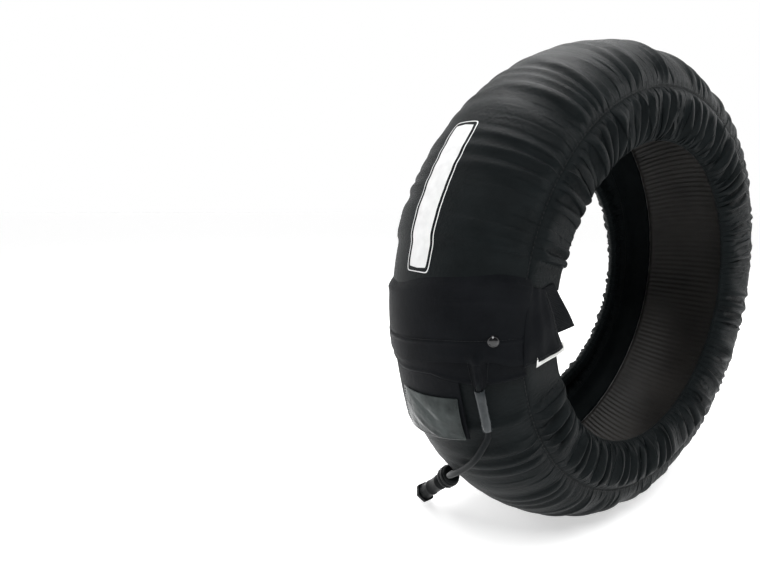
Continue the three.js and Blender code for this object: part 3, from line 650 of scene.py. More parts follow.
def new_material(name, colour, roughness, metallic=0.0, sheen=0.0, coat=0.0, clear=0.0,
                 specular=0.5, index=1.45):
    """A plain material, kept by its name."""
    material = bpy.data.materials.new(name)
    material.use_nodes = True
    shader = material.node_tree.nodes["Principled BSDF"]
    shader.inputs["Base Color"].default_value = (*colour, 1)
    shader.inputs["Roughness"].default_value = roughness
    shader.inputs["Metallic"].default_value = metallic
    shader.inputs["Sheen Weight"].default_value = sheen
    shader.inputs["Sheen Roughness"].default_value = 0.4
    shader.inputs["Coat Weight"].default_value = coat
    shader.inputs["Transmission Weight"].default_value = clear
    shader.inputs["Specular IOR Level"].default_value = specular
    shader.inputs["IOR"].default_value = index
    MADE[name] = material
    return material


def vary(material, colour_low, colour_high, scale, rough_low, rough_high, bumps):
    """Varies a material's colour and roughness, and adds bumps given as kind, scale and distance."""
    tree = material.node_tree
    nodes, links = tree.nodes, tree.links
    shader = nodes["Principled BSDF"]
    where = nodes.new("ShaderNodeTexCoord")
    cloudy = nodes.new("ShaderNodeTexNoise")
    cloudy.inputs["Scale"].default_value = scale
    cloudy.inputs["Detail"].default_value = 5
    links.new(where.outputs["Object"], cloudy.inputs["Vector"])
    ramp = nodes.new("ShaderNodeValToRGB")
    ramp.color_ramp.elements[0].position = 0.35
    ramp.color_ramp.elements[1].position = 0.65
    ramp.color_ramp.elements[0].color = (*colour_low, 1)
    ramp.color_ramp.elements[1].color = (*colour_high, 1)
    links.new(cloudy.outputs["Fac"], ramp.inputs["Fac"])
    links.new(ramp.outputs["Color"], shader.inputs["Base Color"])
    spread = nodes.new("ShaderNodeMapRange")
    spread.inputs["To Min"].default_value = rough_low
    spread.inputs["To Max"].default_value = rough_high
    links.new(cloudy.outputs["Fac"], spread.inputs["Value"])
    links.new(spread.outputs["Result"], shader.inputs["Roughness"])
    previous = None
    for kind, size, distance in bumps:
        bump = nodes.new("ShaderNodeBump")
        bump.inputs["Distance"].default_value = distance
        bump.inputs["Strength"].default_value = 1.0
        if kind == "noise":
            source = nodes.new("ShaderNodeTexNoise")
            source.inputs["Detail"].default_value = 3
            height = source.outputs["Fac"]
            coordinate = where.outputs["Object"]
        elif kind == "cells":
            source = nodes.new("ShaderNodeTexVoronoi")
            height = source.outputs["Distance"]
            coordinate = where.outputs["Object"]
        else:
            source = nodes.new("ShaderNodeTexWave")
            source.bands_direction = "X" if kind == "warp" else "Y"
            height = source.outputs["Fac"]
            coordinate = where.outputs["UV"]
        source.inputs["Scale"].default_value = size
        links.new(coordinate, source.inputs["Vector"])
        links.new(height, bump.inputs["Height"])
        if previous is not None:
            links.new(previous.outputs["Normal"], bump.inputs["Normal"])
        previous = bump
    if previous is not None:
        links.new(previous.outputs["Normal"], shader.inputs["Normal"])
    return material


def make_materials():
    """The materials of all pieces."""
    tones = bpy.context.scene.tw_colours
    nylon = new_material("black_nylon", (0.0045, 0.0062, 0.0068), 0.5, sheen=0.003, specular=0.14, index=1.30)
    vary(nylon, tones.cover_low, tones.cover_high, 30, 0.34, 0.48,
         (("noise", 260, 0.0006), ("warp", 330, 0.00012), ("weft", 330, 0.00012)))
    panel = new_material("panel_nylon", (0.0042, 0.0050, 0.0062), 0.55, sheen=0.003, specular=0.10, index=1.25)
    vary(panel, tones.panel_low, tones.panel_high, 24, 0.38, 0.52,
         (("noise", 180, 0.0005), ("warp", 360, 0.00012), ("weft", 360, 0.00012)))
    webbing = new_material("webbing", (0.005, 0.006, 0.007), 0.7, sheen=0.004, specular=0.15, index=1.25)
    vary(webbing, (0.004, 0.005, 0.006), (0.006, 0.007, 0.008), 60, 0.6, 0.8,
         (("warp", 160, 0.0003), ("weft", 200, 0.0002)))
    thread = new_material("thread", (0.012, 0.013, 0.014), 0.55, specular=0.3)
    vary(thread, (0.009, 0.010, 0.011), (0.014, 0.016, 0.017), 400, 0.45, 0.65, (("noise", 2500, 0.0001),))
    lining = new_material("lining", (0.0120, 0.0112, 0.0104), 0.6, specular=0.3)
    vary(lining, tones.lining_low, tones.lining_high, 14, 0.36, 0.56,
         (("noise", 320, 0.0005), ("cells", 700, 0.0002)))
    label = new_material("label", (0.78, 0.78, 0.76), 0.6)
    vary(label, (0.74, 0.74, 0.72), (0.82, 0.82, 0.80), 120, 0.5, 0.7,
         (("warp", 420, 0.00012), ("weft", 420, 0.00012)))
    snap = new_material("snap_metal", (0.010, 0.010, 0.011), 0.12, metallic=0.6, coat=0.6)
    vary(snap, (0.008, 0.008, 0.009), (0.014, 0.014, 0.015), 200, 0.08, 0.2, (("noise", 900, 0.00004),))
    film = new_material("film", (0.030, 0.036, 0.035), 0.08, index=1.20)
    vary(film, (0.010, 0.013, 0.013), (0.046, 0.054, 0.053), 34, 0.05, 0.13, (("noise", 40, 0.0030),))
    clear = new_material("clear_tube", (0.032, 0.037, 0.040), 0.14, clear=0.10, index=1.28)
    vary(clear, (0.022, 0.026, 0.028), (0.044, 0.050, 0.054), 90, 0.10, 0.22, (("noise", 240, 0.0002),))
    rubber = new_material("lead_rubber", (0.0055, 0.0070, 0.0078), 0.42, specular=0.16, index=1.25)
    vary(rubber, (0.0045, 0.0058, 0.0065), (0.0070, 0.0085, 0.0095), 150, 0.34, 0.50,
         (("noise", 1400, 0.00006),))
    plastic = new_material("plug_plastic", (0.0060, 0.0068, 0.0075), 0.38, specular=0.18, index=1.30)
    vary(plastic, (0.0048, 0.0056, 0.0062), (0.0080, 0.0088, 0.0096), 180, 0.30, 0.46,
         (("noise", 1600, 0.00008),))
    brass = new_material("brass", (0.70, 0.50, 0.25), 0.3, metallic=1.0)
    vary(brass, (0.62, 0.43, 0.20), (0.74, 0.54, 0.28), 300, 0.2, 0.4, (("noise", 900, 0.00005),))
    felt = new_material("felt", (0.20, 0.20, 0.20), 0.95)
    vary(felt, (0.15, 0.15, 0.15), (0.24, 0.24, 0.24), 160, 0.85, 1.0, (("noise", 900, 0.0006),))
    wire = new_material("wire", (0.25, 0.08, 0.05), 0.5)
    vary(wire, (0.20, 0.06, 0.04), (0.30, 0.10, 0.06), 200, 0.4, 0.6, (("noise", 900, 0.0001),))
    print_white = new_material("print_white", (0.74, 0.74, 0.74), 0.5)
    vary(print_white, tones.print_low, tones.print_high, 90, 0.42, 0.58,
         (("warp", 330, 0.00015), ("weft", 330, 0.00015)))


def material(name):
    """A material of this script, which the frame's own of the same name don't hide."""
    return MADE[name]


# Operators, one for each piece or group of pieces.


class TW_OT_camera(bpy.types.Operator):
    """The camera that took the photograph, the floor and the lights"""

    bl_idname = "tyre_warmer.camera"
    bl_label = "Camera, floor and light"

    def execute(self, context):
        scene = context.scene
        data = bpy.data.cameras.new("camera")
        data.sensor_width = 36
        data.lens = 469.24 / 760 * 36
        data.clip_start = 0.02
        camera = bpy.data.objects.new("camera", data)
        scene.collection.objects.link(camera)
        right = Vector((0.84619, -0.53287, 0.00157))
        up = Vector((0.08397, 0.13625, 0.98711))
        back = Vector((-0.52622, -0.83516, 0.16004))
        basis = Matrix((right, up, back)).transposed().to_4x4()
        camera.matrix_world = Matrix.Translation((-0.62483, -0.41209, 0.43537)) @ basis
        scene.camera = camera
        floor_mesh = bpy.data.meshes.new("floor")
        size = 60
        floor_mesh.from_pydata([(-size, -size, 0), (size, -size, 0), (size, size, 0), (-size, size, 0)], [],
                               [(0, 1, 2, 3)])
        floor = bpy.data.objects.new("floor", floor_mesh)
        scene.collection.objects.link(floor)
        floor_look = new_material("floor", (0.86, 0.86, 0.86), 0.7)
        glow = floor_look.node_tree.nodes["Principled BSDF"]
        glow.inputs["Emission Color"].default_value = (1, 1, 1, 1)
        glow.inputs["Emission Strength"].default_value = 0.55
        floor_mesh.materials.append(floor_look)
        self.make_world(scene)
        scene.view_settings.view_transform = "Standard"
        lamps = (
            ("key", (-0.9, -0.9, 2.1), 0.9, 36),
            ("top", (0.5, 0.4, 2.3), 1.2, 42),
            ("rim", (1.7, -0.7, 1.2), 0.8, 9),
            ("back", (-1.0, 1.8, 0.9), 1.0, 12),
        )
        for name, spot, width, power in lamps:
            light = bpy.data.lights.new(name, "AREA")
            light.size = width
            light.energy = power
            lamp = bpy.data.objects.new(name, light)
            scene.collection.objects.link(lamp)
            aim = Vector((0, 0, 0.33)) - Vector(spot)
            turned = aim.to_track_quat("-Z", "Y").to_matrix().to_4x4()
            lamp.matrix_world = Matrix.Translation(spot) @ turned
        return {"FINISHED"}

    def make_world(self, scene):
        """White ahead of the camera, as a backdrop, and dimmer round it, as a studio."""
        world = bpy.data.worlds.new("world")
        world.use_nodes = True
        tree = world.node_tree
        where = tree.nodes.new("ShaderNodeTexCoord")
        facing = tree.nodes.new("ShaderNodeVectorMath")
        facing.operation = "DOT_PRODUCT"
        facing.inputs[1].default_value = (0.53, 0.83, -0.10)
        tree.links.new(where.outputs["Generated"], facing.inputs[0])
        spread = tree.nodes.new("ShaderNodeMapRange")
        spread.inputs["From Min"].default_value = -0.1
        spread.inputs["From Max"].default_value = 0.45
        spread.inputs["To Min"].default_value = 0.16
        spread.inputs["To Max"].default_value = 1.0
        tree.links.new(facing.outputs["Value"], spread.inputs["Value"])
        tree.links.new(spread.outputs["Result"], tree.nodes["Background"].inputs["Strength"])
        tree.nodes["Background"].inputs["Color"].default_value = (1, 1, 1, 1)
        scene.world = world


LEAD_ROUTE = (
    (-0.28255, -0.08116, 0.20588), (-0.28054, -0.08102, 0.19955), (-0.281, -0.074, 0.182),
    (-0.280, -0.061, 0.161), (-0.275, -0.040, 0.139), (-0.267, -0.013, 0.116), (-0.250, 0.014, 0.095),
    (-0.21772, 0.03742, 0.07872), (-0.21831, 0.04928, 0.06656),
)
HELD_ROUTE = (
    (-0.30074, -0.08125, 0.27813), (-0.29938, -0.08136, 0.26907), (-0.29833, -0.08174, 0.26072),
    (-0.29775, -0.08222, 0.25387), (-0.29020, -0.08169, 0.23005), (-0.28265, -0.08116, 0.20622),
)
PLUG_REAR = Vector((-0.218, 0.043, 0.073))
PLUG_MOUTH = Vector((-0.221, 0.1035, 0.011))


def plug_place():
    """The plug's place: its rear at the origin and its mouth along Z."""
    z = (PLUG_MOUTH - PLUG_REAR).normalized()
    x = Vector((0, 0, 1)).cross(z).normalized()
    y = z.cross(x)
    turned = Matrix((x, y, z)).transposed().to_4x4()
    return Matrix.Translation(PLUG_REAR) @ turned


class TW_OT_lead(bpy.types.Operator):
    """The supply lead, its clear tube and its plug"""

    bl_idname = "tyre_warmer.lead"
    bl_label = "Supply lead and plug"

    def execute(self, context):
        lead = context.scene.tw_lead
        rubber = material("lead_rubber")
        plug = self.make_plug()
        route = catmull(LEAD_ROUTE, 40)
        curve = bpy.data.curves.new("free_lead", "CURVE")
        curve.dimensions = "3D"
        curve.bevel_depth = lead.diameter / 2
        curve.bevel_resolution = 6
        curve.use_fill_caps = True
        spline = curve.splines.new("POLY")
        spline.points.add(len(route) - 1)
        for point, spot in zip(spline.points, route):
            point.co = (*spot, 1)
        spline.use_smooth = True
        free = bpy.data.objects.new("free_lead", curve)
        context.scene.collection.objects.link(free)
        curve.materials.append(rubber)
        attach(free, BODY)
        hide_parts("supply_lead")
        held = catmull(HELD_ROUTE, 40)
        mesh = grid_mesh("held_lead_look", tube_points(held, lead.diameter / 2, 20), closed_v=True, caps=True)
        held_piece = link("held_lead_look", mesh, rubber)
        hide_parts("held_lead")
        self.make_tube(lead)
        return {"FINISHED"}

    def make_tube(self, lead):
        start = Vector(HELD_ROUTE[3])
        end = Vector(HELD_ROUTE[5])
        z = (end - start).normalized()
        x = Vector((0, 1, 0)).cross(z).normalized()
        place = Matrix.Translation(start) @ Matrix((x, z.cross(x), z)).transposed().to_4x4()
        bore = lead.tube_bore / 2
        wall = bore + lead.tube_wall
        long = lead.tube_length
        lip = 0.0004
        profile = [(bore, lip), (bore + lip, 0), (wall - lip, 0), (wall, lip), (wall, long * 0.3),
                   (wall - 0.0002, long * 0.55), (wall, long * 0.8), (wall, long - lip),
                   (wall - lip, long), (bore + lip, long), (bore, long - lip), (bore, lip)]
        mesh = lathe("clear_tube", profile, place, 40)
        tube = link("clear_tube", mesh, material("clear_tube"))
        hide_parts("strain_relief_tube")

    def make_plug(self):
        plastic = material("plug_plastic")
        dome = [(4.6, 0.6), (5.4, 0.0), (8.0, 0.2), (10.4, 1.0), (12.2, 2.4), (13.2, 4.2), (13.3, 5.0),
                (12.9, 5.4), (12.9, 6.0), (14.2, 6.6), (14.5, 7.4), (14.5, 11.2), (14.2, 12.0), (13.2, 12.4),
                (13.2, 13.2), (13.8, 13.8), (13.8, 19.6), (13.4, 20.6), (12.6, 21.0), (7.4, 21.0), (7.4, 7.2),
                (5.0, 7.0), (5.0, 1.2), (4.6, 0.6)]
        turned = lathe("gland_nut_look", in_mm(dome), plug_place(), 64)
        nut = link("gland_nut_look", turned, plastic)
        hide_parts("gland_nut")
        ribs = self.make_ribs(plastic)
        end = (PLUG_MOUTH - PLUG_REAR).length / MM
        shell = [(4.5, 11.4), (7.0, 11.4), (7.0, 21.4), (9.4, 21.5), (10.0, 22.1), (10.0, 34.0), (10.5, 34.6),
                 (10.5, 36.4), (10.0, 37.0), (10.0, 58.0), (10.6, 58.8), (10.6, 62.0), (10.0, 62.8),
                 (10.0, end - 10.4), (10.8, end - 8.6), (10.8, end - 0.4), (10.4, end), (9.0, end),
                 (8.6, end - 0.5), (8.6, end - 16), (4.5, end - 16), (4.5, 11.4)]
        turned = lathe("plug_body_look", in_mm(shell), plug_place(), 64)
        body = link("plug_body_look", turned, plastic)
        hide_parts("plug_body")
        collar = self.make_collar(plastic, end)
        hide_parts("plug_collar")
        parts = [nut, ribs, body, collar]
        names = ("gland_seal", "pin_insert", "contact_pin_1", "contact_pin_2", "contact_pin_3")
        return parts + [NODES[name] for name in names]

    def make_ribs(self, plastic):
        """Grip ribs round the nut's front band."""
        verts = []
        faces = []
        place = plug_place()
        for k in range(18):
            a = k * FULL_TURN / 18
            ca, sa = math.cos(a), math.sin(a)
            start = len(verts)
            for h in (14.3, 15.0, 18.8, 19.4):
                inner, outer = 13.6, (14.4 if h in (15.0, 18.8) else 13.7)
                for r, w in ((inner, -0.9), (outer, -0.5), (outer, 0.5), (inner, 0.9)):
                    spot = Vector((r * ca - w * sa, r * sa + w * ca, h)) * MM
                    verts.append(tuple(place @ spot))
            for ring in range(3):
                for q in range(4):
                    q2 = (q + 1) % 4
                    faces.append((start + ring * 4 + q, start + ring * 4 + q2,
                                  start + ring * 4 + 4 + q2, start + ring * 4 + 4 + q))
            faces.append(tuple(start + q for q in range(4)))
            faces.append(tuple(start + 12 + q for q in reversed(range(4))))
        mesh = bpy.data.meshes.new("gland_ribs")
        mesh.from_pydata(verts, [], faces)
        clean_mesh(mesh, 1e-7)
        return link("gland_ribs", mesh, plastic)

    def make_collar(self, plastic, end):
        """The hexagonal collar at the plug's mouth, with rounded corners."""
        sides = 96
        across = 14.5
        inner = 11.0
        angle = np.arange(sides) * FULL_TURN / sides
        hexagon = across * math.cos(math.pi / 6) / np.cos(np.abs((angle % (math.pi / 3)) - math.pi / 6))
        rounded = np.minimum(hexagon, across * 0.965)
        low, high = end - 7.5, end - 0.5
        rows = [(inner, low), (None, low), (None, low + 0.6), (None, high - 0.6), (None, high),
                (inner, high)]
        shrink = [0, -0.5, 0, 0, -0.5, 0]
        points = np.zeros((sides, len(rows), 3))
        for k, ((r, h), less) in enumerate(zip(rows, shrink)):
            radius = np.full(sides, inner) if r is not None else rounded + less
            ring = [radius * np.cos(angle), radius * np.sin(angle), np.full(sides, h)]
            points[:, k] = np.stack(ring, -1) * MM
        world = moved(points, plug_place())
        mesh = grid_mesh("plug_collar_look", world, closed_u=True, closed_v=True)
        clean_mesh(mesh)
        piece = link("plug_collar_look", mesh, plastic)
        return sharpen(piece, 25)


# Stitches of the skirts' seams, the flat panels, the pocket and the sleeve.
SKIRT_STITCH = {"pitch": 0.0052, "length": 0.0036, "radius": 0.00038}
PANEL_STITCH = {"pitch": 0.0034, "length": 0.0024, "radius": 0.0003}
POCKET_STITCH = {"pitch": 0.0032, "length": 0.0022, "radius": 0.0003}
SLEEVE_STITCH = {"pitch": 0.003, "length": 0.002, "radius": 0.00028}


class TW_OT_cover(bpy.types.Operator):
    """The padded tread cover and the gathered skirts"""

    bl_idname = "tyre_warmer.cover"
    bl_label = "Tread cover and skirts"

    def execute(self, context):
        cover = sizes()
        points, places, seams = relax_cover()
        columns = len(points)
        degrees = np.arange(columns) * 360 / columns
        nylon = material("black_nylon")
        # The tread starts under the flap and runs all the way round to the flap's crease.
        first = np.searchsorted(degrees, 180.0)
        last = np.searchsorted(degrees, 176.0) + columns
        ring = np.arange(first, last + 1) % columns
        tread = points[ring][:, seams[0]:seams[1] + 1]
        mesh = grid_mesh("tread_cloth", tread)
        face_out(mesh)
        piece = link("tread_cloth", mesh, nylon)
        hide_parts("tread_cover")
        skirt_first = np.searchsorted(degrees, 183.0)
        skirt_last = np.searchsorted(degrees, 172.0) + columns
        span = np.arange(skirt_first, skirt_last + 1) % columns
        for word, rows, side in (
            ("near", slice(0, seams[0] + 1), -1),
            ("far", slice(seams[1], len(places)), 1),
        ):
            part = points[span][:, rows]
            if side < 0:
                part = part[:, ::-1]
            part = self.slant_end(part.copy())
            hemmed = self.add_hem(part, side)
            mesh = grid_mesh(f"{word}_skirt_cloth", hemmed)
            self.face_side(mesh, side, hemmed.shape)
            skirt = link(f"{word}_skirt_cloth", mesh, nylon)
            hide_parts(f"{word}_skirt", f"{word}_hem_elastic")
            seam = seams[0] if side < 0 else seams[1]
            thread = self.stitch_row(f"{word}_seam_thread", points, seam, ring, side)
        return {"FINISHED"}

    def slant_end(self, part):
        """Runs the skirt's end on under the wing, further at the seam than at the hem."""
        last = 22
        rows = part.shape[1]
        lead = smooth(np.arange(last), 0, last - 1)
        reach = np.radians(5.0) * (1 - smooth(np.arange(rows), 2, rows - 2))
        angle = lead[:, None] * reach[None]
        z0 = centre_height()
        x, z = part[-last:, :, 0].copy(), part[-last:, :, 2] - z0
        part[-last:, :, 0] = x * np.cos(angle) - z * np.sin(angle)
        part[-last:, :, 2] = x * np.sin(angle) + z * np.cos(angle) + z0
        return part

    def add_hem(self, part, side):
        """Turns the last row in round the elastic."""
        edge = part[:, -1]
        radial = from_axle(edge)
        axle = np.array([0, side, 0.0])
        rows = [part]
        radius = 0.0030
        for turn in np.radians([35, 70, 105, 140, 180]):
            inward = radius * 1.1 * (turn / math.pi) * 2
            spot = edge + radial * (radius * (1 - math.cos(turn))) - axle * inward
            spot = spot - radial * radius * math.sin(turn) * 0.35
            rows.append(spot[:, None])
        for reach in (0.004, 0.008, 0.012):
            spot = edge + radial * (2 * radius + reach) - axle * radius * 2.0
            rows.append(spot[:, None])
        return np.concatenate(rows, 1)

    def face_side(self, mesh, side, shape):
        """The outside of a skirt looks away from the middle plane."""
        rows = shape[1] - 1
        pick = [p for p in mesh.polygons if p.index % rows < rows // 2]
        if sum(p.normal.y for p in pick) * side < 0:
            mesh.flip_normals()

    def stitch_row(self, name, points, row, ring, side):
        """The stitches beside a skirt's seam, on the tread's side of it."""
        line = points[ring][:, row].copy()
        toward = points[ring][:, row - 2 * side]
        normal = from_axle(line) * 0.55 + np.array([0, side * 0.85, 0])
        line = line * 0.7 + toward * 0.3 + normal * 0.0007
        return stitches(name, line, normal, material("thread"), **SKIRT_STITCH)


class TW_OT_liner(bpy.types.Operator):
    """The ribbed heater lining inside the cover"""

    bl_idname = "tyre_warmer.liner"
    bl_label = "Heater lining"

    def execute(self, context):
        ribs = 216
        samples = 5
        columns = ribs * samples
        degrees = 180.5 + np.arange(columns + 1) * 352.0 / columns
        places = np.linspace(-0.553, 0.553, 25)
        wave = 0.5 + 0.5 * np.cos(np.arange(columns + 1) * FULL_TURN / samples)
        edge = 1 - smooth(np.abs(places), 0.50, 0.553)
        rise = 0.0013 * wave[:, None] * edge[None]
        rng = np.random.default_rng(21)
        slack = np.zeros((columns + 1, len(places)))
        for _ in range(26):
            at_angle, at_place = rng.uniform(185, 528), rng.uniform(-0.45, 0.45)
            width, reach, lean = rng.uniform(0.7, 2.0), rng.uniform(0.1, 0.3), rng.uniform(-16, 16)
            across = (degrees[:, None] - at_angle - lean * (places[None] - at_place)) / width
            along = (places[None] - at_place) / reach
            slack += rng.uniform(0.0006, 0.0016) * np.exp(-across ** 2 - along ** 2)
        sheet = on_cover(degrees[:, None], places[None], -(0.0098 + rise + slack * edge[None]))
        low = 0.0090
        sheet[..., 2] = np.maximum(sheet[..., 2], low)
        mesh = grid_mesh("lining_sheet", sheet)
        face_out(mesh)
        mesh.flip_normals()
        piece = link("lining_sheet", mesh, material("lining"))
        thicken(piece, 0.0010)
        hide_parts("heater_liner")
        self.make_inner_side()
        return {"FINISHED"}

    def make_inner_side(self):
        """Black edge bands between the lining and the skirts, seen through the hub's opening."""
        degrees = np.linspace(180.5, 532.0, 361)
        for word, side in (("near", -1), ("far", 1)):
            places = side * np.linspace(0.56, 0.9, 10)
            depth = -0.0030 - 0.0045 * (1 - smooth(np.abs(places), 0.56, 0.72))
            band = on_cover(degrees[:, None], places[None], depth[None])
            band[..., 2] = np.maximum(band[..., 2], 0.004)
            mesh = grid_mesh(f"{word}_edge_band", band)
            face_out(mesh)
            mesh.flip_normals()
            piece = link(f"{word}_edge_band", mesh, material("black_nylon"))
            thicken(piece, 0.0008)


LEAD_LINE = -0.0753


def lead_ridge(degrees, place, start, full):
    """The height that the lead under a fabric lifts it by."""
    r, y = section(place)
    offset = np.abs(y - LEAD_LINE)
    bell = 1 - smooth(offset, 0.0014, 0.0072)
    return bell * smooth(degrees, start, full)


class TW_OT_flap(bpy.types.Operator):
    """The closing flap with its facing, edge stitching and press studs"""

    bl_idname = "tyre_warmer.flap"
    bl_label = "Closing flap and studs"

    def execute(self, context):
        cover = sizes()
        rng = np.random.default_rng(11)
        panel = material("panel_nylon")
        places = np.linspace(-0.93, 0.93, 150)
        y = section(places)[1]
        edge_y = [-0.101, -0.0955, -0.087, -0.073, -0.034, 0.0195, 0.06, 0.101]
        edge_angle = [189.7, 189.2, 188.1, 187.7, 188.5, 190.2, 190.0, 189.6]
        edge = np.interp(y, edge_y, edge_angle) + 0.10 * np.sin(places * 23)
        share = np.linspace(0, 1, 96)
        top_y = [-0.1, -0.085, -0.06, -0.018, 0.03, 0.1]
        top_angle = [168.4, 168.6, 169.6, 171.4, 173.0, 172.6]
        top = np.interp(y, top_y, top_angle)
        top = top + 0.25 * np.sin(places * 11)
        angle = top[None] + (edge - top)[None] * share[:, None]
        rise = -0.0032 + (cover.flap_lift + 0.0024) * smooth(share, 0.0, 0.22)
        out = np.broadcast_to(rise[:, None], angle.shape).copy()
        # Soft pulls from the seams and studs, a stitched line level with the studs and a lifted free edge.
        for _ in range(9):
            at_share, at_place = rng.uniform(0.05, 0.95), rng.choice([-1, 1]) * rng.uniform(0.5, 0.9)
            width, reach = rng.uniform(0.03, 0.07), rng.uniform(0.15, 0.3)
            lean = rng.uniform(-0.12, 0.12)
            across = (share[:, None] - at_share - lean * (places[None] - at_place)) / width
            along = (places[None] - at_place) / reach
            out += np.exp(-across ** 2 - along ** 2) * rng.uniform(0.0008, 0.0020)
        for at_place in (-0.656, 0.656):
            spot = np.exp(-((angle - 183.6) / 1.5) ** 2 - ((places[None] - at_place) / 0.06) ** 2)
            out -= 0.0008 * spot
        line_angle = np.interp(y, [-0.1, -0.08, -0.045, 0.04, 0.1], [183.3, 183.5, 183.9, 185.9, 185.6])
        out -= 0.0008 * np.exp(-((angle - line_angle[None]) / 0.17) ** 2)
        out += 0.0007 * np.exp(-((angle - line_angle[None] - 0.55) / 0.35) ** 2)
        out += (np.sin(places * 14 + 0.8) * 0.0005 + 0.0009)[None] * share[:, None] ** 7
        out += 0.0088 * lead_ridge(angle, places[None], 184.2, 187.6)
        points = on_cover(angle, places[None], out)
        mesh = grid_mesh("flap_panel", points)
        face_out(mesh)
        piece = link("flap_panel", mesh, panel)
        thicken(piece, cover.fabric)
        line = on_cover(line_angle[8:-8], places[8:-8], cover.flap_lift - 0.0008)
        sewn = stitches("flap_thread", line, from_axle(line), material("thread"), **PANEL_STITCH)
        self.make_facing(panel)
        for side, word in ((-1, "near"), (1, "far")):
            self.make_stud(word, side)
        return {"FINISHED"}

    def make_facing(self, panel):
        """The flap's rolled facing, which shows below its free edge."""
        places = np.linspace(-0.9, 0.9, 130)
        y = section(places)[1]
        end = np.interp(y, [-0.1, -0.07, -0.03, 0.02, 0.1], [192.9, 192.9, 191.4, 192.6, 192.8])
        share = np.linspace(0, 1, 30)
        angle = 185.0 + (end - 185.0)[None] * share[:, None]
        out = 0.0022 + 0.0008 * np.sin(share * math.pi)[:, None]
        out = out + 0.0005 * np.sin(places * 17)[None] * share[:, None]
        out = out + 0.0012 * np.exp(-((share - 0.93) / 0.05) ** 2)[:, None]
        points = on_cover(angle, places[None], out)
        mesh = grid_mesh("flap_facing", points)
        face_out(mesh)
        piece = link("flap_facing", mesh, panel)
        thicken(piece, 0.0012)

    def make_stud(self, word, side):
        """A domed cap with a rolled rim."""
        spot, ahead, aside = on_cover(
            np.array([183.6, 183.9, 183.6]), side * np.array([0.656, 0.656, 0.67]), 0.0040)
        along = ahead - spot
        z = np.cross(along, aside - spot)
        z /= np.linalg.norm(z)
        if z[1] * side < 0:
            z = -z
        x = along - z * along.dot(z)
        x /= np.linalg.norm(x)
        turned = zip(x, np.cross(z, x), z)
        place = Matrix([(*row, spot[k]) for k, row in enumerate(turned)] + [(0, 0, 0, 1)])
        profile = [(0.0, -1.2), (1.4, -1.2), (1.4, -0.2), (5.4, -0.2), (5.9, 0.0), (6.0, 0.35), (5.8, 0.75),
                   (5.3, 0.95), (5.0, 0.85), (4.8, 1.0), (4.2, 1.55), (3.2, 2.05), (2.0, 2.35), (0.9, 2.48),
                   (0.0, 2.5)]
        mesh = lathe(f"{word}_stud_cap", in_mm(profile), place, 48)
        cap = link(f"{word}_stud_cap", mesh, material("snap_metal"))
        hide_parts(f"{word}_snap_cap")


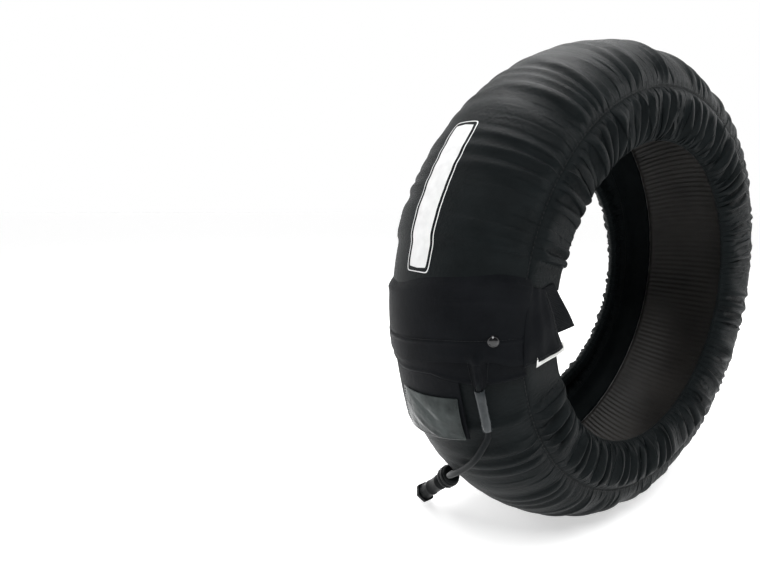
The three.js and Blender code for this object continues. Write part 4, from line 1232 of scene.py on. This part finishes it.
class TW_OT_wings(bpy.types.Operator):
    """The flat wings beside the flap, their tabs and the blank label"""

    bl_idname = "tyre_warmer.wings"
    bl_label = "Wings, tabs and label"

    def execute(self, context):
        for word, side in (("near", -1), ("far", 1)):
            self.make_wing(word, side)
            self.make_tab(word, side)
        self.make_label()
        return {"FINISHED"}

    def wing_grid(self, side):
        """The wing's outside from the seam to its inner edge, down its length."""
        top = np.array([[-0.2553, 0.1010, 0.3590], [-0.2600, 0.1045, 0.3160], [-0.2590, 0.1035, 0.2760]])
        middle = np.array([[-0.2425, 0.1045, 0.3570], [-0.2400, 0.1090, 0.3180], [-0.2350, 0.1105, 0.2830]])
        inner = np.array([[-0.2290, 0.1035, 0.3540], [-0.2190, 0.1092, 0.3200], [-0.2066, 0.1110, 0.2916]])
        share = np.linspace(0, 1, 40)
        across = np.linspace(0, 1, 28)

        def through(a, b, c, t):
            return a * (1 - t) * (1 - 2 * t) + b * 4 * t * (1 - t) + c * t * (2 * t - 1)

        lines = [through(*rows, share[:, None]) for rows in (top, middle, inner)]
        grid = np.stack([through(*lines, t) for t in across], 1)
        grid[..., 1] *= side
        waves = 0.0006 * np.sin(share[:, None] * 9 + across[None] * 5) + 0.0004 * np.sin(across[None] * 17)
        grid[..., 1] += side * waves
        return grid

    def make_wing(self, word, side):
        grid = self.wing_grid(side)
        mesh = grid_mesh(f"{word}_wing_panel", grid)
        if sum(p.normal.y for p in mesh.polygons) * side < 0:
            mesh.flip_normals()
        piece = link(f"{word}_wing_panel", mesh, material("panel_nylon"))
        thicken(piece, 0.0013)
        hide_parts(f"{word}_wing")
        out = np.array([0, side, 0.0])
        edge = grid[1:-2, -3]
        low = grid[-3, 1:-2]
        thread = material("thread")
        stitches(f"{word}_wing_thread", edge + out * 0.0001, out, thread, **PANEL_STITCH)
        stitches(f"{word}_wing_low_thread", low + out * 0.0001, out, thread, **PANEL_STITCH)

    def patch(self, name, corners, side, thickness, slot, look, wave=0.0005):
        """A flat piece between four corners, with a slight wave."""
        corners = np.array(corners, float)
        corners[:, 1] *= side
        u = np.linspace(0, 1, 30)[:, None, None]
        v = np.linspace(0, 1, 14)[None, :, None]
        a, b, c, d = corners
        grid = a * (1 - u) * (1 - v) + b * u * (1 - v) + c * u * v + d * (1 - u) * v
        grid[..., 1] += side * wave * np.sin(u[..., 0] * 7 + v[..., 0] * 3)
        mesh = grid_mesh(name, grid)
        if sum(p.normal.y for p in mesh.polygons) * side < 0:
            mesh.flip_normals()
        piece = link(name, mesh, look)
        thicken(piece, thickness)
        return piece

    def make_tab(self, word, side):
        corners = [(-0.2330, 0.1010, 0.3560), (-0.2180, 0.1060, 0.3060), (-0.1835, 0.1070, 0.3110),
                   (-0.2150, 0.1010, 0.3595)]
        look = material("webbing")
        piece = self.patch(f"{word}_tab_strap", corners, side, 0.0016, "webbing", look)
        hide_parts(f"{word}_tab")

    def make_label(self):
        corners = [(-0.2440, 0.1085, 0.2868), (-0.2045, 0.1100, 0.2978), (-0.2030, 0.1100, 0.2868),
                   (-0.2435, 0.1080, 0.2752)]
        look = material("label")
        piece = self.patch("blank_label", corners, -1, 0.0006, "label", look, 0.0003)
        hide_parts("care_label")


class TW_OT_pocket(bpy.types.Operator):
    """The card pocket with its clear window"""

    bl_idname = "tyre_warmer.pocket"
    bl_label = "Card pocket"

    def execute(self, context):
        panel = material("panel_nylon")
        # Header of fabric, from under the flap down to the window's upper edge, and the backing below it.
        near_y, far_y = -0.0585, 0.046
        rows = np.linspace(190.4, 206.9, 60)
        ys = np.linspace(near_y, far_y, 60)
        places = np.array([place_at(y) for y in ys])
        share = (rows - rows[0]) / (rows[-1] - rows[0])
        tilt = (ys - far_y) / (near_y - far_y)
        angle = rows[:, None] - 2.2 * tilt[None] * (0.35 + 0.65 * share[:, None])
        out = 0.0020 + 0.0078 * share ** 2
        grid = on_cover(angle, places[None], np.broadcast_to(out[:, None], angle.shape))
        mesh = grid_mesh("pocket_back", grid)
        face_out(mesh)
        back = link("pocket_back", mesh, panel)
        thicken(back, 0.0010)
        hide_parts("pocket_backing")
        inner = rows > 197.0
        keep = slice(2, 48)
        film_rows = rows[inner]
        local = (film_rows - film_rows[0]) / (film_rows[-1] - film_rows[0])
        angle = angle[inner][:, keep]
        rng = np.random.default_rng(5)
        belly = 0.0022 * np.sin(math.pi * local)[:, None] * np.ones(angle.shape)
        columns = np.linspace(0, 1, angle.shape[1])
        for _ in range(6):
            cu, cv = rng.uniform(0.1, 0.9, 2)
            lean = rng.uniform(-1.2, 1.2)
            d = (columns[None] - cu) + lean * (local[:, None] - cv)
            height = rng.uniform(-0.0010, 0.0012)
            belly += height * np.exp(-(d / 0.06) ** 2) * np.exp(-((local[:, None] - cv) / 0.3) ** 2)
        frame = np.minimum(smooth(local, 0, 0.08), 1 - smooth(local, 0.93, 1))[:, None]
        belly = belly * frame
        film = on_cover(angle, places[None, keep], out[inner][:, None] + 0.0012 + np.maximum(belly, 0))
        mesh = grid_mesh("pocket_film", film)
        face_out(mesh)
        window = link("pocket_film", mesh, material("film"))
        thicken(window, 0.0005)
        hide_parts("pocket_window")
        outward = np.array([-0.9, 0.0, -0.3])
        thread = material("thread")
        edges = {"low": film[-2, 1:-1], "side": film[2:-1, -2], "near": film[2:-1, 1]}
        for word, edge in edges.items():
            stitches(f"pocket_thread_{word}", edge, outward, thread, **POCKET_STITCH)
        return {"FINISHED"}


class TW_OT_sleeve(bpy.types.Operator):
    """The sewn sleeve that holds the lead on the flap"""

    bl_idname = "tyre_warmer.sleeve"
    bl_label = "Lead sleeve"

    def execute(self, context):
        degrees = np.linspace(187.2, 192.9, 30)
        share = np.linspace(0, 1, 30)
        half = 0.0082 - 0.0026 * share
        across = np.linspace(-1, 1, 33)
        y = LEAD_LINE + across[None] * half[:, None]
        places = np.vectorize(place_at)(y)
        offset = np.abs(across[None] * half[:, None])
        bell = 1 - smooth(offset, 0.0012, np.minimum(0.0070, half[:, None] * 0.98))
        fold = 0.0006 * np.exp(-((across[None] + 0.25) / 0.12) ** 2)
        out = 0.0034 + (0.0094 + 0.0003 * np.sin(share * 12))[:, None] * bell + fold
        points = on_cover(degrees[:, None], places, out)
        mesh = grid_mesh("lead_sleeve_cloth", points)
        face_out(mesh)
        piece = link("lead_sleeve_cloth", mesh, material("panel_nylon"))
        thicken(piece, 0.0009)
        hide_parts("lead_sleeve")
        for k, word in ((1, "near"), (-2, "far")):
            line = points[:, k] + np.array([-0.0003, -0.0002, 0])
            outward = np.array([-0.8, -0.5, 0.0])
            stitches(f"sleeve_thread_{word}", line, outward, material("thread"), **SLEEVE_STITCH)
        return {"FINISHED"}


class TW_OT_print(bpy.types.Operator):
    """A plain printed band on the tread, with a fine outline round it"""

    bl_idname = "tyre_warmer.print"
    bl_label = "Plain printed band"

    def execute(self, context):
        middle_angle, middle_y = 156.5, -0.0075
        crown = sizes().crown_radius
        lift = 0.00035

        def on_cloth(along, across):
            degrees = middle_angle + np.degrees(along / crown)
            places = np.vectorize(place_at)(middle_y + across)
            return cloth_at(degrees, places, lift)

        across = np.linspace(-1, 1, 15)
        along = np.linspace(-1, 1, 150)
        ends = (1 - np.abs(along) ** 14) ** (1 / 14)
        fill = on_cloth(along[:, None] * 0.084 + 0 * across[None], across[None] * ends[:, None] * 0.0135)
        turn = np.linspace(0, FULL_TURN, 420, endpoint=False)
        square = (np.abs(np.cos(turn)) ** 12 + np.abs(np.sin(turn)) ** 12) ** (-1 / 12)
        rings = []
        for extra in (0.0, 0.0011):
            along_line = np.cos(turn) * square * (0.0875 + extra)
            across_line = np.sin(turn) * square * (0.0168 + extra)
            rings.append(on_cloth(along_line, across_line))
        line = np.stack(rings, 1)
        for name, grid, closed in (("print_fill", fill, False), ("print_line", line, True)):
            mesh = grid_mesh(name, grid, closed_u=closed)
            face_out(mesh)
            link(name, mesh, material("print_white"))
        return {"FINISHED"}


class TW_OT_kept_nodes(bpy.types.Operator):
    """Materials for the CAD nodes that stay"""

    bl_idname = "tyre_warmer.kept_nodes"
    bl_label = "Materials of the kept nodes"

    def execute(self, context):
        looks = {
            "insulation_felt": "felt", "heating_wire": "wire", "thermostat": "plug_plastic",
            "thermal_fuse": "label",
            "live_core": "wire", "neutral_core": "wire", "closure_hook_strip": "webbing",
            "closure_loop_strip": "webbing", "gland_seal": "lead_rubber", "pin_insert": "lead_rubber",
            "contact_pin_1": "brass", "contact_pin_2": "brass", "contact_pin_3": "brass",
        }
        for name, look in looks.items():
            self.dress(name, look)
        for word in ("near", "far"):
            for part in ("snap_socket", "snap_stud", "snap_post"):
                self.dress(f"{word}_{part}", "snap_metal")
        return {"FINISHED"}

    def dress(self, name, look):
        mesh = NODES[name].data
        mesh.materials.clear()
        mesh.materials.append(material(look))


class TW_PT_panel(bpy.types.Panel):
    """One button for each piece"""

    bl_label = "Tyre warmer"
    bl_idname = "TW_PT_panel"
    bl_space_type = "VIEW_3D"
    bl_region_type = "UI"
    bl_category = "Tyre warmer"

    def draw(self, context):
        for operator in OPERATORS:
            self.layout.operator(operator.bl_idname)


OPERATORS = (
    TW_OT_camera,
    TW_OT_lead,
    TW_OT_cover,
    TW_OT_liner,
    TW_OT_flap,
    TW_OT_wings,
    TW_OT_pocket,
    TW_OT_sleeve,
    TW_OT_print,
    TW_OT_kept_nodes,
)
CLASSES = (CoverSizes, ClothSettings, Colours, LeadSizes, *OPERATORS, TW_PT_panel)


def register():
    for item in CLASSES:
        bpy.utils.register_class(item)
    bpy.types.Scene.tw_cover = bpy.props.PointerProperty(type=CoverSizes)
    bpy.types.Scene.tw_cloth = bpy.props.PointerProperty(type=ClothSettings)
    bpy.types.Scene.tw_colours = bpy.props.PointerProperty(type=Colours)
    bpy.types.Scene.tw_lead = bpy.props.PointerProperty(type=LeadSizes)


def unregister():
    del bpy.types.Scene.tw_lead
    del bpy.types.Scene.tw_colours
    del bpy.types.Scene.tw_cloth
    del bpy.types.Scene.tw_cover
    for item in reversed(CLASSES):
        bpy.utils.unregister_class(item)


def main():
    register()
    make_materials()
    for operator in OPERATORS:
        group, name = operator.bl_idname.split(".")
        getattr(getattr(bpy.ops, group), name)()
    bpy.context.view_layer.update()


if __name__ == "__main__":
    main()
